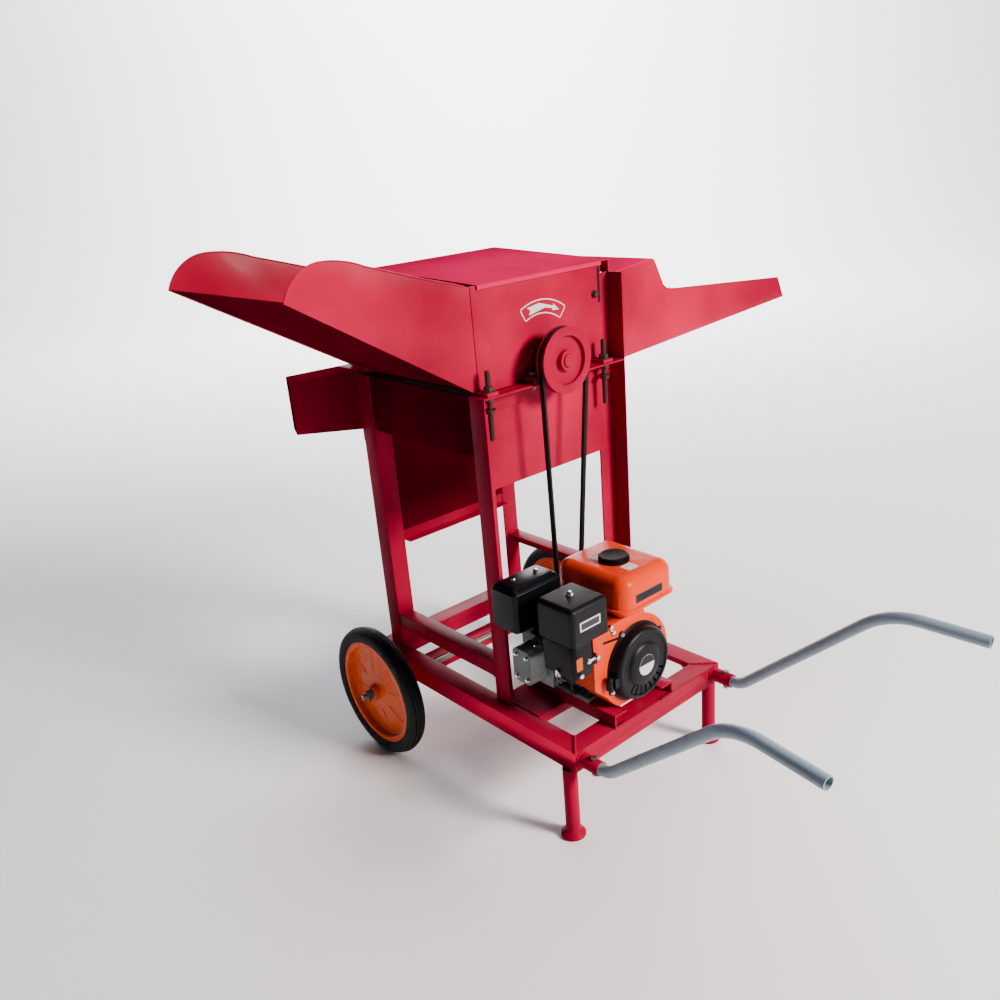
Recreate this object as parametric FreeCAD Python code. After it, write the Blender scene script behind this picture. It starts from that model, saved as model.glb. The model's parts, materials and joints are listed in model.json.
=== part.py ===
import FreeCAD, Part
import math
import os

from FreeCAD import Vector, Rotation, Placement

os.makedirs("parts", exist_ok=True)

# Threshing machine on a two-wheeled barrow frame, driven by a small petrol engine.
# X runs from the wheels to the handles, Y from the straw chute to the feed tray, Z is up.
# Lengths are in millimetres. While it is modelled, x = 0 lies near the rear posts, y = 0 on the
# drum shaft and z = 0 on the ground. At the end everything is moved so that the origin lies on
# the ground below the middle of the whole machine.

# Driving sizes of the machine
wheel_radius = 175.0
axle_radius = 8.0
axle_x = 92.5
angle_leg = 50.0
angle_wall = 4.0
base_rear_x = -45.0
base_front_x = 728.0
base_half_width = 256.6
tower_half_width = 222.4
rear_post_heel_x = 45.0
front_post_heel_x = 432.0
sheet = 1.6
seam_z = 984.0
shaft_radius = 15.0
bearing_height = 43.0
drum_tip_radius = 140.0
roof_rise = 227.0
roof_front_z = seam_z + roof_rise
roof_rise_share = 0.048
belt_plane_x = 502.0
crank_y = -30.0
crank_height = 98.0
engine_lift = 31.0

# Clearances that several pieces share
running_clearance = 0.06
loose_clearance = 0.5
overrun = 20.0

# An edge runs along an axis if this share of its direction lies on it
along_share = 0.9

# Places that follow from the driving sizes
frame_bottom_z = wheel_radius + axle_radius
frame_top_z = frame_bottom_z + angle_leg
axis_z = seam_z + bearing_height
engine_base_z = frame_top_z + engine_lift
crank_z = engine_base_z + crank_height
front_panel_x = front_post_heel_x + angle_wall + sheet
rear_panel_x = rear_post_heel_x - angle_wall - sheet
rail_inner_y = base_half_width - angle_leg
post_inner_y = tower_half_width - angle_wall


# Small makers that every piece uses

def box(x0, x1, y0, y1, z0, z1):
    return Part.makeBox(x1 - x0, y1 - y0, z1 - z0, Vector(x0, y0, z0))


def rod(radius, start, end):
    start = Vector(*start)
    run = Vector(*end) - start
    return Part.makeCylinder(radius, run.Length, start, run)


def tube(radius, bore, start, end):
    return rod(radius, start, end).cut(rod(bore, start, end))


def cone(radius_start, radius_end, start, end):
    start = Vector(*start)
    run = Vector(*end) - start
    return Part.makeCone(radius_start, radius_end, run.Length, start, run)


def join(pieces):
    whole = pieces[0]
    for piece in pieces[1:]:
        whole = whole.fuse(piece)
    return whole.removeSplitter()


def less(piece, cutters):
    for cutter in cutters:
        piece = piece.cut(cutter)
    return piece


def wire_of(points):
    """A closed wire through points; a point marked 'via' is the middle of an arc."""
    edges = []
    marks = list(points)
    here = marks[0]
    position = 1
    marks.append(marks[0])
    while position < len(marks):
        point = marks[position]
        if len(point) == 4:
            after = marks[position + 1]
            edges.append(Part.Arc(Vector(*here), Vector(*point[:3]), Vector(*after)).toShape())
            here = after
            position += 2
        else:
            edges.append(Part.LineSegment(Vector(*here), Vector(*point)).toShape())
            here = point
            position += 1
    return Part.Wire(edges)


def prism_x(outline, x0, x1):
    """A prism along X over an outline of (y, z) or (y, z, 'via') points."""
    points = [(x0, p[0], p[1]) + tuple(p[2:]) for p in outline]
    return Part.Face(wire_of(points)).extrude(Vector(x1 - x0, 0, 0))


def prism_y(outline, y0, y1):
    """A prism along Y over an outline of (x, z) or (x, z, 'via') points."""
    points = [(p[0], y0, p[1]) + tuple(p[2:]) for p in outline]
    return Part.Face(wire_of(points)).extrude(Vector(0, y1 - y0, 0))


def prism_z(outline, z0, z1):
    """A prism along Z over an outline of (x, y) or (x, y, 'via') points."""
    points = [(p[0], p[1], z0) + tuple(p[2:]) for p in outline]
    return Part.Face(wire_of(points)).extrude(Vector(0, 0, z1 - z0))


def mirror_y(piece):
    return piece.mirror(Vector(0, 0, 0), Vector(0, 1, 0))


def turned(profile, centre_x, centre_z):
    """A body of revolution about the line along Y through (centre_x, centre_z).

    The profile is a list of (radius, y) or (radius, y, 'via') points."""
    points = [(centre_x + p[0], p[1], centre_z) + tuple(p[2:]) for p in profile]
    face = Part.Face(wire_of(points))
    return face.revolve(Vector(centre_x, 0, centre_z), Vector(0, 1, 0), 360)


def turned_x(profile, centre_y, centre_z):
    """A body of revolution about the line along X; the profile holds (x, radius) points."""
    points = [(p[0], centre_y, centre_z + p[1]) + tuple(p[2:]) for p in profile]
    face = Part.Face(wire_of(points))
    return face.revolve(Vector(0, centre_y, centre_z), Vector(1, 0, 0), 360)


def hexagon(across_flats, start, end, spin=0.0):
    """A hexagonal prism between two points, for bolt heads and nuts."""
    start = Vector(*start)
    run = Vector(*end) - start
    corner_radius = across_flats / math.sqrt(3.0)
    corners = []
    for side in range(6):
        turn = math.radians(spin + side * 60.0)
        corners.append(Vector(corner_radius * math.cos(turn), corner_radius * math.sin(turn), 0))
    corners.append(corners[0])
    face = Part.Face(Part.makePolygon(corners))
    body = face.extrude(Vector(0, 0, run.Length))
    body.Placement = Placement(start, Rotation(Vector(0, 0, 1), run))
    return body


def group(solids):
    return Part.makeCompound(solids)


nodes = {}


def keep(name, shape):
    nodes[name] = shape


# Base frame
# Four rails of equal-leg angle iron. The side rails and the front rail are mitred at the front
# corners and carry their flat leg on top, turned inward. The rear rail turns its flat leg back.

def frame_side(start, end, inward, start_mitre, end_mitre):
    along = Vector(*end) - Vector(*start)
    along.normalize()
    inward = Vector(*inward)

    def plate(depth, z0, z1):
        head = Vector(*start)
        tail = Vector(*end)
        shift_head = along * (depth if start_mitre else 0)
        shift_tail = along * (-depth if end_mitre else 0)
        corners = (head, tail, tail + inward * depth + shift_tail, head + inward * depth + shift_head)
        return prism_z([(c.x, c.y) for c in corners], z0, z1)

    top = plate(angle_leg, frame_top_z - angle_wall, frame_top_z)
    side = plate(angle_wall, frame_bottom_z, frame_top_z)
    return join([top, side])


rear_rail_face_x = 5.0


def base_rails():
    near = frame_side((base_rear_x, -base_half_width, 0), (base_front_x, -base_half_width, 0),
                      (0, 1, 0), False, True)
    far = frame_side((base_rear_x, base_half_width, 0), (base_front_x, base_half_width, 0),
                     (0, -1, 0), False, True)
    front = frame_side((base_front_x, -base_half_width, 0), (base_front_x, base_half_width, 0),
                       (-1, 0, 0), True, True)
    rear = frame_side((rear_rail_face_x, -rail_inner_y, 0), (rear_rail_face_x, rail_inner_y, 0),
                      (-1, 0, 0), False, False)
    socket_path = [socket_solid(side) for side in (-1, 1)]
    front = less(front, socket_path)
    near = less(near, [socket_path[0]])
    far = less(far, [socket_path[1]])
    return group([near, far, front, rear, axle_beam()])


# Cross plate
# A folded channel under the feet of the front posts; the rear ends of the engine rails lie on it.
cross_plate_rear_x = 430.0
cross_plate_front_x = 565.0
cross_plate_lip = 25.0


def tower_cross_plate():
    top = box(cross_plate_rear_x, cross_plate_front_x, -rail_inner_y, rail_inner_y,
              frame_top_z - angle_wall, frame_top_z)
    rear_lip = box(cross_plate_rear_x, cross_plate_rear_x + angle_wall, -rail_inner_y, rail_inner_y,
                   frame_top_z - cross_plate_lip, frame_top_z)
    front_lip = box(cross_plate_front_x - angle_wall, cross_plate_front_x, -rail_inner_y, rail_inner_y,
                    frame_top_z - cross_plate_lip, frame_top_z)
    return join([top, rear_lip, front_lip])


# Engine rails
# Two angles along X, from the cross plate to the front rail, that lift the engine off the frame.
engine_rail_width = 40.0
engine_bolt_span_y = 162.0
engine_bolt_span_x = 76.0
engine_bolt_middle_x = 590.0
engine_bolt_shift_y = 6.0
engine_bolt_middle_y = crank_y + engine_bolt_shift_y
engine_bolt_radius = 4.0
engine_hole_radius = engine_bolt_radius + loose_clearance


def engine_bolt_places():
    places = []
    for side_x in (-1, 1):
        for side_y in (-1, 1):
            places.append((engine_bolt_middle_x + side_x * engine_bolt_span_x / 2.0,
                           engine_bolt_middle_y + side_y * engine_bolt_span_y / 2.0))
    return places


def engine_rail(side):
    middle = engine_bolt_middle_y + side * engine_bolt_span_y / 2.0
    outer = middle + side * engine_rail_width / 2.0
    inner = middle - side * engine_rail_width / 2.0
    low, high = min(outer, inner), max(outer, inner)
    top = box(cross_plate_rear_x, base_front_x, low, high, engine_base_z - angle_wall, engine_base_z)
    wall_low, wall_high = min(outer, outer - side * angle_wall), max(outer, outer - side * angle_wall)
    wall = box(cross_plate_rear_x, base_front_x, wall_low, wall_high, frame_top_z, engine_base_z)
    rail = join([top, wall])
    holes = [rod(engine_hole_radius, (x, y, engine_base_z - angle_wall - overrun),
                 (x, y, engine_base_z + overrun)) for x, y in engine_bolt_places()]
    return less(rail, holes)


# Tower posts
# Four angle posts on the base carry the threshing box. The two on the feed side go on above the
# seam as corner angles of the upper box.
upper_post_drop = 26.0
upper_post_top_z = roof_front_z - upper_post_drop


def post(heel_x, reach_x, side_y, z0, z1):
    """An angle post with its heel at (heel_x, side_y * tower_half_width)."""
    face_y = side_y * tower_half_width
    flange_low = min(face_y, face_y - side_y * angle_wall)
    flange = box(min(heel_x, heel_x + reach_x * angle_leg), max(heel_x, heel_x + reach_x * angle_leg),
                 flange_low, flange_low + angle_wall, z0, z1)
    web_low = min(face_y, face_y - side_y * angle_leg)
    web = box(min(heel_x, heel_x + reach_x * angle_wall), max(heel_x, heel_x + reach_x * angle_wall),
              web_low, web_low + angle_leg, z0, z1)
    return join([flange, web])


def upper_corner_posts():
    return [post(heel_x, reach_x, 1, seam_z, upper_post_top_z)
                  for heel_x, reach_x in ((rear_post_heel_x, -1), (front_post_heel_x, 1))]


def tower_posts():
    posts = upper_corner_posts()
    for heel_x, reach_x in ((rear_post_heel_x, -1), (front_post_heel_x, 1)):
        for side_y in (-1, 1):
            posts.append(post(heel_x, reach_x, side_y, frame_top_z, seam_z))
    return group(posts)


# Cross rails
# A brace between the posts on each side, and an angle along the foot of the rear panel.
brace_leg = 40.0
near_brace_rise = 103.0
far_brace_rise = 200.0
rear_panel_depth = 451.0
near_brace_top_z = frame_top_z + near_brace_rise
far_brace_top_z = frame_top_z + far_brace_rise
rear_panel_bottom_z = seam_z - rear_panel_depth
rear_rail_leg = 28.0
rear_rail_wall = 3.0


def brace(side_y, top_z):
    face_y = side_y * tower_half_width
    low = min(face_y, face_y - side_y * brace_leg)
    wall_low = min(face_y, face_y - side_y * angle_wall)
    flat = box(rear_post_heel_x, front_post_heel_x, low, low + brace_leg, top_z - angle_wall, top_z)
    wall = box(rear_post_heel_x, front_post_heel_x, wall_low, wall_low + angle_wall,
               top_z - brace_leg, top_z)
    return join([flat, wall])


def cross_rails():
    half = tower_half_width - angle_leg
    face_x = rear_panel_x + sheet
    wall = box(face_x, face_x + rear_rail_wall, -half, half,
               rear_panel_bottom_z, rear_panel_bottom_z + rear_rail_leg)
    flat = box(face_x, face_x + rear_rail_leg, -half, half,
               rear_panel_bottom_z, rear_panel_bottom_z + rear_rail_wall)
    return group([brace(-1, near_brace_top_z), brace(1, far_brace_top_z), join([wall, flat])])


# Axle
# A round bar welded below the rails, stiffened by an angle behind it.
axle_beam_leg = 40.0
wheel_stand_off = 83.4
axle_stub = 56.0
wheel_middle_y = base_half_width + wheel_stand_off
axle_end_y = wheel_middle_y + axle_stub
axle_flange_radius = 14.0
axle_flange_width = 6.0


def axle_beam():
    rear_x = axle_x - axle_radius - axle_beam_leg
    front_x = axle_x - axle_radius
    flat = box(rear_x, front_x, -base_half_width, base_half_width,
               frame_bottom_z - angle_wall, frame_bottom_z)
    wall = box(front_x - angle_wall, front_x, -base_half_width, base_half_width,
               frame_bottom_z - axle_beam_leg, frame_bottom_z)
    return join([flat, wall])


def axle():
    bar = rod(axle_radius, (axle_x, -axle_end_y, wheel_radius), (axle_x, axle_end_y, wheel_radius))
    collars = []
    for side in (-1, 1):
        inner = side * (wheel_middle_y - hub_length / 2.0 - hub_side_gap)
        outer = inner - side * axle_flange_width
        collars.append(rod(axle_flange_radius, (axle_x, inner, wheel_radius), (axle_x, outer, wheel_radius)))
    return join([bar] + collars)


# Wheels
# Pressed steel discs with a rolled rim and a short hub tube, and a solid rubber tyre.
tyre_width = 46.0
tyre_seat_share = 0.76
rim_inner_share = 0.72
rim_flange_share = 0.80
tyre_seat_radius = wheel_radius * tyre_seat_share
rim_inner_radius = wheel_radius * rim_inner_share
rim_flange_radius = wheel_radius * rim_flange_share
rim_width = 36.0
rim_wall = 3.0
disc_wall = 3.0
disc_dish = 10.0
hub_radius = 21.0
hub_length = 56.0
hub_side_gap = 0.4
tread_drop = 9.0
tyre_edge_share = 0.86
hub_bore_radius = axle_radius + running_clearance
disc_flat_radius = 46.0
spoke_rib_count = 8
spoke_rib_width = 7.0
spoke_rib_height = 3.0


def tyre(side):
    middle = side * wheel_middle_y
    half = tyre_width / 2.0
    rim_half = rim_width / 2.0 - rim_wall
    shoulder = wheel_radius - tread_drop
    edge = half * tyre_edge_share
    profile = [(tyre_seat_radius, middle - rim_half), (rim_flange_radius, middle - rim_half),
               (rim_flange_radius, middle - edge),
               ((rim_flange_radius + shoulder) / 2.0, middle - half, "via"),
               (shoulder, middle - edge),
               (wheel_radius, middle, "via"),
               (shoulder, middle + edge),
               ((rim_flange_radius + shoulder) / 2.0, middle + half, "via"),
               (rim_flange_radius, middle + edge),
               (rim_flange_radius, middle + rim_half), (tyre_seat_radius, middle + rim_half)]
    return turned(profile, axle_x, wheel_radius)


def wheel_disc(side):
    middle = side * wheel_middle_y
    rim_half = rim_width / 2.0
    rim = turned([(rim_inner_radius + rim_wall, middle - rim_half + rim_wall),
                  (rim_inner_radius + rim_wall, middle + rim_half - rim_wall),
                  (rim_flange_radius, middle + rim_half - rim_wall),
                  (rim_flange_radius, middle + rim_half),
                  (rim_inner_radius, middle + rim_half),
                  (rim_inner_radius, middle - rim_half),
                  (rim_flange_radius, middle - rim_half),
                  (rim_flange_radius, middle - rim_half + rim_wall)], axle_x, wheel_radius)
    seat = turned([(rim_inner_radius + rim_wall, middle - rim_half + rim_wall),
                   (tyre_seat_radius, middle - rim_half + rim_wall),
                   (tyre_seat_radius, middle + rim_half - rim_wall),
                   (rim_inner_radius + rim_wall, middle + rim_half - rim_wall)], axle_x, wheel_radius)
    outer_face = middle + side * disc_dish
    inner_face = middle
    disc = turned([(hub_radius, outer_face), (disc_flat_radius, outer_face),
                   (rim_inner_radius, inner_face), (rim_inner_radius, inner_face - side * disc_wall),
                   (disc_flat_radius, outer_face - side * disc_wall),
                   (hub_radius, outer_face - side * disc_wall)], axle_x, wheel_radius)
    hub = turned([(hub_bore_radius, middle - hub_length / 2.0), (hub_radius, middle - hub_length / 2.0),
                  (hub_radius, middle + hub_length / 2.0), (hub_bore_radius, middle + hub_length / 2.0)],
                 axle_x, wheel_radius)
    return join([rim, seat, disc, hub])


axle_nut_flats = 24.0
axle_nut_height = 13.0
washer_radius = 16.0
washer_wall = 2.5


def axle_nuts():
    solids = []
    for side in (-1, 1):
        start = side * (wheel_middle_y + hub_length / 2.0 + hub_side_gap)
        seat = start + side * washer_wall
        end = seat + side * axle_nut_height
        washer = rod(washer_radius, (axle_x, start, wheel_radius), (axle_x, seat, wheel_radius))
        nut = hexagon(axle_nut_flats, (axle_x, seat, wheel_radius), (axle_x, end, wheel_radius))
        bar = rod(axle_radius, (axle_x, start - side * overrun, wheel_radius),
                  (axle_x, end + side * overrun, wheel_radius))
        solids.append(join([washer, nut]).cut(bar))
    return group(solids)


# Legs
# Two tubes below the front corners, each with a flared foot.
leg_radius = 17.0
leg_inset_x = 26.0
leg_inset_y = 6.6
leg_x = base_front_x - leg_inset_x
leg_y = base_half_width - leg_inset_y
foot_radius = 29.0
foot_height = 18.0
foot_rim_height = 8.0
foot_edge_radius = 5.0
leg_bore_radius = 14.0


def legs():
    solids = []
    for side in (-1, 1):
        y = side * leg_y
        stem = tube(leg_radius, leg_bore_radius, (leg_x, y, foot_height), (leg_x, y, frame_bottom_z))
        rim = rod(foot_radius, (leg_x, y, 0), (leg_x, y, foot_rim_height))
        rim = rim.makeFillet(foot_edge_radius, [e for e in rim.Edges if e.CenterOfMass.z < loose_clearance])
        flare = cone(foot_radius, leg_radius, (leg_x, y, foot_rim_height), (leg_x, y, foot_height))
        collar = rod(leg_radius, (leg_x, y, foot_height), (leg_x, y, foot_height + foot_rim_height))
        solids.append(join([stem, rim, flare, collar]))
    return group(solids)


# Handles
# Bent steel tubes in sockets that are welded into the front corners of the frame.
handle_radius = 13.5
handle_bore_radius = 11.0
socket_radius = 17.0
socket_bore_radius = handle_radius + loose_clearance / 2.0
socket_rear_x = 640.0
socket_front_x = 785.0
socket_y = base_half_width - angle_wall - socket_radius
socket_z = frame_top_z - angle_wall - socket_radius
handle_rear_x = 660.0
handle_low_bend_radius = 58.0
handle_high_bend_radius = 172.0
handle_low_x = 808.0
handle_rise_end_x = 1145.0
handle_rise = 295.0
handle_rise_end_z = socket_z + handle_rise
handle_end_x = 1345.0
handle_end_rise = 286.0
handle_end_z = socket_z + handle_end_rise
handle_rise_spread = 37.7
handle_end_spread = 60.0


def socket_solid(side):
    return rod(socket_radius, (socket_rear_x, side * socket_y, socket_z),
               (socket_front_x, side * socket_y, socket_z))


def handle_sockets():
    solids = []
    for side in (-1, 1):
        body = tube(socket_radius, socket_bore_radius, (socket_rear_x, side * socket_y, socket_z),
                    (socket_front_x, side * socket_y, socket_z))
        bolt = handle_bolt_hole(side)
        solids.append(body.cut(bolt))
    return group(solids)


handle_bolt_x = 766.0
handle_bolt_radius = 4.0


def handle_bolt_hole(side):
    return rod(handle_bolt_radius, (handle_bolt_x, side * socket_y, socket_z - socket_radius - overrun),
               (handle_bolt_x, side * socket_y, socket_z + socket_radius + overrun))


def rounded_path(points, radii):
    """Straight runs joined by tangent arcs, one radius for each inner corner."""
    edges = []
    here = points[0]
    for index in range(1, len(points) - 1):
        corner = points[index]
        before = points[index - 1] - corner
        after = points[index + 1] - corner
        before.normalize()
        after.normalize()
        radius = radii[index - 1]
        half_turn = before.getAngle(after) / 2.0
        setback = radius / math.tan(half_turn)
        start = corner + before * setback
        end = corner + after * setback
        middle_way = before + after
        middle_way.normalize()
        centre = corner + middle_way * (radius / math.sin(half_turn))
        middle = centre - middle_way * radius
        edges.append(Part.LineSegment(here, start).toShape())
        edges.append(Part.Arc(start, middle, end).toShape())
        here = end
    edges.append(Part.LineSegment(here, points[-1]).toShape())
    return Part.Wire(edges)


def swept(path, radius):
    start = path.Edges[0]
    origin = start.valueAt(start.FirstParameter)
    direction = start.tangentAt(start.FirstParameter)
    section = Part.Wire(Part.makeCircle(radius, origin, direction))
    return path.makePipeShell([section], True, False)


def handle(side):
    points = [Vector(handle_rear_x, side * socket_y, socket_z),
              Vector(handle_low_x, side * socket_y, socket_z),
              Vector(handle_rise_end_x, side * (socket_y + handle_rise_spread), handle_rise_end_z),
              Vector(handle_end_x, side * (socket_y + handle_end_spread), handle_end_z)]
    path = rounded_path(points, (handle_low_bend_radius, handle_high_bend_radius))
    body = swept(path, handle_radius).cut(swept(path, handle_bore_radius))
    return body.cut(handle_bolt_hole(side))


# Threshing box, lower half
# Sheet panels between the posts, with a ledge at the seam on each end for the shaft's bearings.
front_panel_depth = 224.0
lower_front_bottom_z = seam_z - front_panel_depth
front_panel_inset = 26.4
front_panel_half_width = tower_half_width - front_panel_inset
side_panel_depth = 138.0
side_panel_bottom_z = seam_z - side_panel_depth
side_panel_wall = 2.0
ledge_leg = angle_leg - angle_wall - sheet
shaft_hole_radius = 26.0
tongue_share = 0.324
tongue_half_width = tower_half_width * tongue_share
tongue_depth = 146.0
tongue_head = 52.0
tongue_low_z = seam_z - tongue_depth
tongue_high_z = seam_z - tongue_head


def shaft_hole(x0, x1):
    return rod(shaft_hole_radius, (x0 - overrun, 0, axis_z), (x1 + overrun, 0, axis_z))


def lower_front_panel():
    return box(front_panel_x - sheet, front_panel_x, -front_panel_half_width, front_panel_half_width,
               lower_front_bottom_z, seam_z)


def tongue_window(x0, x1):
    return box(x0 - overrun, x1 + overrun, -tongue_half_width, tongue_half_width,
               tongue_low_z, tongue_high_z)


def lower_rear_panel():
    panel = box(rear_panel_x, rear_panel_x + sheet, -post_inner_y, post_inner_y,
                rear_panel_bottom_z, seam_z)
    return panel.cut(tongue_window(rear_panel_x, rear_panel_x + sheet))


def lower_side_panels():
    x0 = rear_post_heel_x
    x1 = front_post_heel_x
    near = box(x0, x1, -post_inner_y, -post_inner_y + side_panel_wall, side_panel_bottom_z, seam_z)
    return group([near, mirror_y(near)])


def ledge(panel_x, reach):
    low = min(panel_x, panel_x + reach * ledge_leg)
    wall_low = min(panel_x, panel_x + reach * angle_wall)
    flat = box(low, low + ledge_leg, -post_inner_y, post_inner_y, seam_z - angle_wall, seam_z)
    wall = box(wall_low, wall_low + angle_wall, -post_inner_y, post_inner_y, seam_z - ledge_leg, seam_z)
    return join([flat, wall])


def ledge_cutters(panel_x, reach):
    middle_x = panel_x + reach * bearing_offset
    cutters = []
    for side in (-1, 1):
        y = side * bearing_bolt_span / 2.0
        cutters.append(rod(bearing_bolt_radius + loose_clearance, (middle_x, y, seam_z - angle_wall - overrun),
                           (middle_x, y, seam_z + overrun)))
    clamp_x = panel_x + reach * clamp_offset
    for clamp_y in (clamp_near_y, clamp_far_y):
        cutters.append(rod(clamp_hole_radius, (clamp_x, clamp_y, seam_z - angle_wall - overrun),
                           (clamp_x, clamp_y, seam_z + overrun)))
    return cutters


def bearing_ledges():
    return group([less(ledge(front_panel_x, 1), ledge_cutters(front_panel_x, 1)),
                  less(ledge(rear_panel_x, -1), ledge_cutters(rear_panel_x, -1))])


# Clamp bolts
# Long threaded rods through the ledges hold the upper half down on the seam.
clamp_radius = 6.0
clamp_hole_radius = clamp_radius + loose_clearance
clamp_offset = 26.0
clamp_near_inset = 31.4
clamp_far_inset = 54.4
clamp_near_y = -tower_half_width + clamp_near_inset
clamp_far_y = tower_half_width - clamp_far_inset
clamp_top = 54.0
clamp_bottom = 100.0
clamp_nut_flats = 19.0
clamp_nut_height = 10.0
clamp_lug_width = 32.0
clamp_lug_wall = 8.0


def clamp_bolts():
    solids = []
    for panel_x, reach in ((front_panel_x, 1), (rear_panel_x, -1)):
        x = panel_x + reach * clamp_offset
        for y in (clamp_near_y, clamp_far_y):
            stem = rod(clamp_radius, (x, y, seam_z - clamp_bottom), (x, y, seam_z + clamp_top))
            lug_top = seam_z + clamp_lug_wall
            upper = hexagon(clamp_nut_flats, (x, y, lug_top), (x, y, lug_top + clamp_nut_height))
            under = seam_z - angle_wall
            lower = hexagon(clamp_nut_flats, (x, y, under), (x, y, under - clamp_nut_height))
            solids.append(join([stem, upper, lower]))
    return group(solids)


def clamp_lug(panel_x, reach, y):
    x0 = min(panel_x, panel_x + reach * (ledge_leg - angle_wall))
    x1 = max(panel_x, panel_x + reach * (ledge_leg - angle_wall))
    lug = box(x0, x1, y - clamp_lug_width / 2.0, y + clamp_lug_width / 2.0, seam_z, seam_z + clamp_lug_wall)
    hole_x = panel_x + reach * clamp_offset
    return lug.cut(rod(clamp_hole_radius, (hole_x, y, seam_z - overrun), (hole_x, y, seam_z + overrun)))


# Threshing box, upper half

def roof_z(x):
    """Height of the roof's underside over x."""
    return roof_front_z + (front_panel_x - x) * roof_rise_share


roof_near_inset = 42.4
roof_far_overhang = 3.6
roof_near_y = -tower_half_width + roof_near_inset
roof_far_y = tower_half_width + roof_far_overhang
roof_overhang = 4.0
roof_lip_depth = 8.0
panel_surplus = 80.0


def above_roof():
    x0 = rear_panel_x - overrun
    x1 = front_panel_x + overrun
    high = roof_front_z + panel_surplus + overrun
    outline = [(x0, roof_z(x0)), (x1, roof_z(x1)), (x1, high), (x0, high)]
    return prism_y(outline, -tower_half_width - overrun, tower_half_width + overrun)


def housing_roof():
    x0 = rear_panel_x - roof_overhang
    x1 = front_panel_x + roof_overhang
    outline = [(x0, roof_z(x0)), (x1, roof_z(x1)), (x1, roof_z(x1) + sheet), (x0, roof_z(x0) + sheet)]
    top = prism_y(outline, roof_near_y, roof_far_y)
    lips = []
    for lip_x in (x0, x1 - sheet):
        lips.append(box(lip_x, lip_x + sheet, roof_near_y, front_panel_half_width,
                        roof_z(lip_x + sheet) - roof_lip_depth, roof_z(lip_x)))
    return join([top] + lips)


def upper_panel(face_x, reach):
    low = min(face_x, face_x - reach * sheet)
    panel = box(low, low + sheet, -front_panel_half_width, front_panel_half_width,
                seam_z, roof_front_z + panel_surplus)
    panel = less(panel, [above_roof(), shaft_hole(low, low + sheet)])
    lugs = [clamp_lug(face_x, reach, y) for y in (clamp_near_y, clamp_far_y)]
    return join([panel] + lugs)


# Straw chute
# An open channel that rises outward: a floor between two side walls with a rounded outer corner.
chute_inset = 22.4
chute_inner_y = -tower_half_width + chute_inset
chute_low_z = seam_z
chute_front_reach = 423.0
chute_rear_reach = 467.0
chute_front_rise = 325.0
chute_rear_rise = 337.0
chute_lip = 5.0
chute_tail = 20.0
chute_toe_share = 0.806
chute_outline_shares = ((1.0, 0.806), (0.922, 0.945, "via"), (0.8085, 1.0), (0.69, 0.985, "via"),
                        (0.574, 0.935), (0.255, 0.80), (0.0236, 0.714), (0.006, 0.70))


def chute_wall(x0, reach, rise):
    outline = [(chute_inner_y, chute_low_z)]
    for share in chute_outline_shares:
        outline.append((chute_inner_y - reach * share[0], chute_low_z + rise * share[1]) + tuple(share[2:]))
    last = outline[-1]
    outline[-1] = (chute_inner_y, last[1])
    wall = prism_x(outline, x0, x0 + sheet)
    tail = box(x0, x0 + sheet, chute_inner_y, chute_inner_y + chute_tail,
               seam_z, chute_low_z + rise * chute_outline_shares[-1][1])
    return join([wall, tail])


chute_front_x = front_panel_x - sheet * 2.0
chute_rear_x = rear_panel_x + sheet


def chute_walls():
    return group([chute_wall(chute_front_x, chute_front_reach, chute_front_rise),
                  chute_wall(chute_rear_x, chute_rear_reach, chute_rear_rise)])


def chute_floor():
    ends = []
    for x, reach, rise in ((chute_front_x, chute_front_reach, chute_front_rise),
                           (chute_rear_x + sheet, chute_rear_reach, chute_rear_rise)):
        low = chute_low_z + chute_lip
        high = low + rise * chute_toe_share - chute_lip
        start_y = chute_inner_y
        end_y = chute_inner_y - reach + chute_lip
        corners = [(x, start_y, low), (x, end_y, high), (x, end_y, high + sheet), (x, start_y, low + sheet)]
        ends.append(wire_of(corners))
    return Part.makeLoft(ends, True, True)


# Feed tray
# A shallow trough with higher walls near the box, roofed over by a short hood.
tray_overhang = 26.0
tray_front_x = front_post_heel_x + tray_overhang
tray_rear_x = rear_post_heel_x - tray_overhang
tray_inner_y = tower_half_width
tray_drop = 7.0
tray_low_z = seam_z - tray_drop
tray_reach = 694.6
tray_rise = 219.0
tray_lip = 4.0
tray_outline_shares = ((1.0, 0.192), (0.96, 0.452), (0.30, 0.628), (0.268, 0.655, "via"), (0.25, 0.70),
                       (0.207, 0.965), (0.201, 0.992, "via"), (0.187, 1.0), (0.0, 0.936))
hood_front_share = 0.187
hood_drop_share = 0.936


def tray_wall(x0):
    outline = [(tray_inner_y, tray_low_z)]
    for share in tray_outline_shares:
        outline.append((tray_inner_y + tray_reach * share[0], tray_low_z + tray_rise * share[1])
                       + tuple(share[2:]))
    return prism_x(outline, x0, x0 + sheet)


def tray_walls():
    return group([tray_wall(tray_front_x - sheet), tray_wall(tray_rear_x)])


def tray_floor():
    low = tray_low_z + tray_lip
    high = low + tray_rise * tray_outline_shares[0][1]
    outline = [(tray_inner_y, low), (tray_inner_y + tray_reach - tray_lip, high),
               (tray_inner_y + tray_reach - tray_lip, high + sheet), (tray_inner_y, low + sheet)]
    floor = prism_x(outline, tray_rear_x + sheet, tray_front_x - sheet)
    strip = box(rear_post_heel_x, front_post_heel_x, post_inner_y, tray_inner_y + sheet, low, low + sheet)
    return join([floor, strip])


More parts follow.
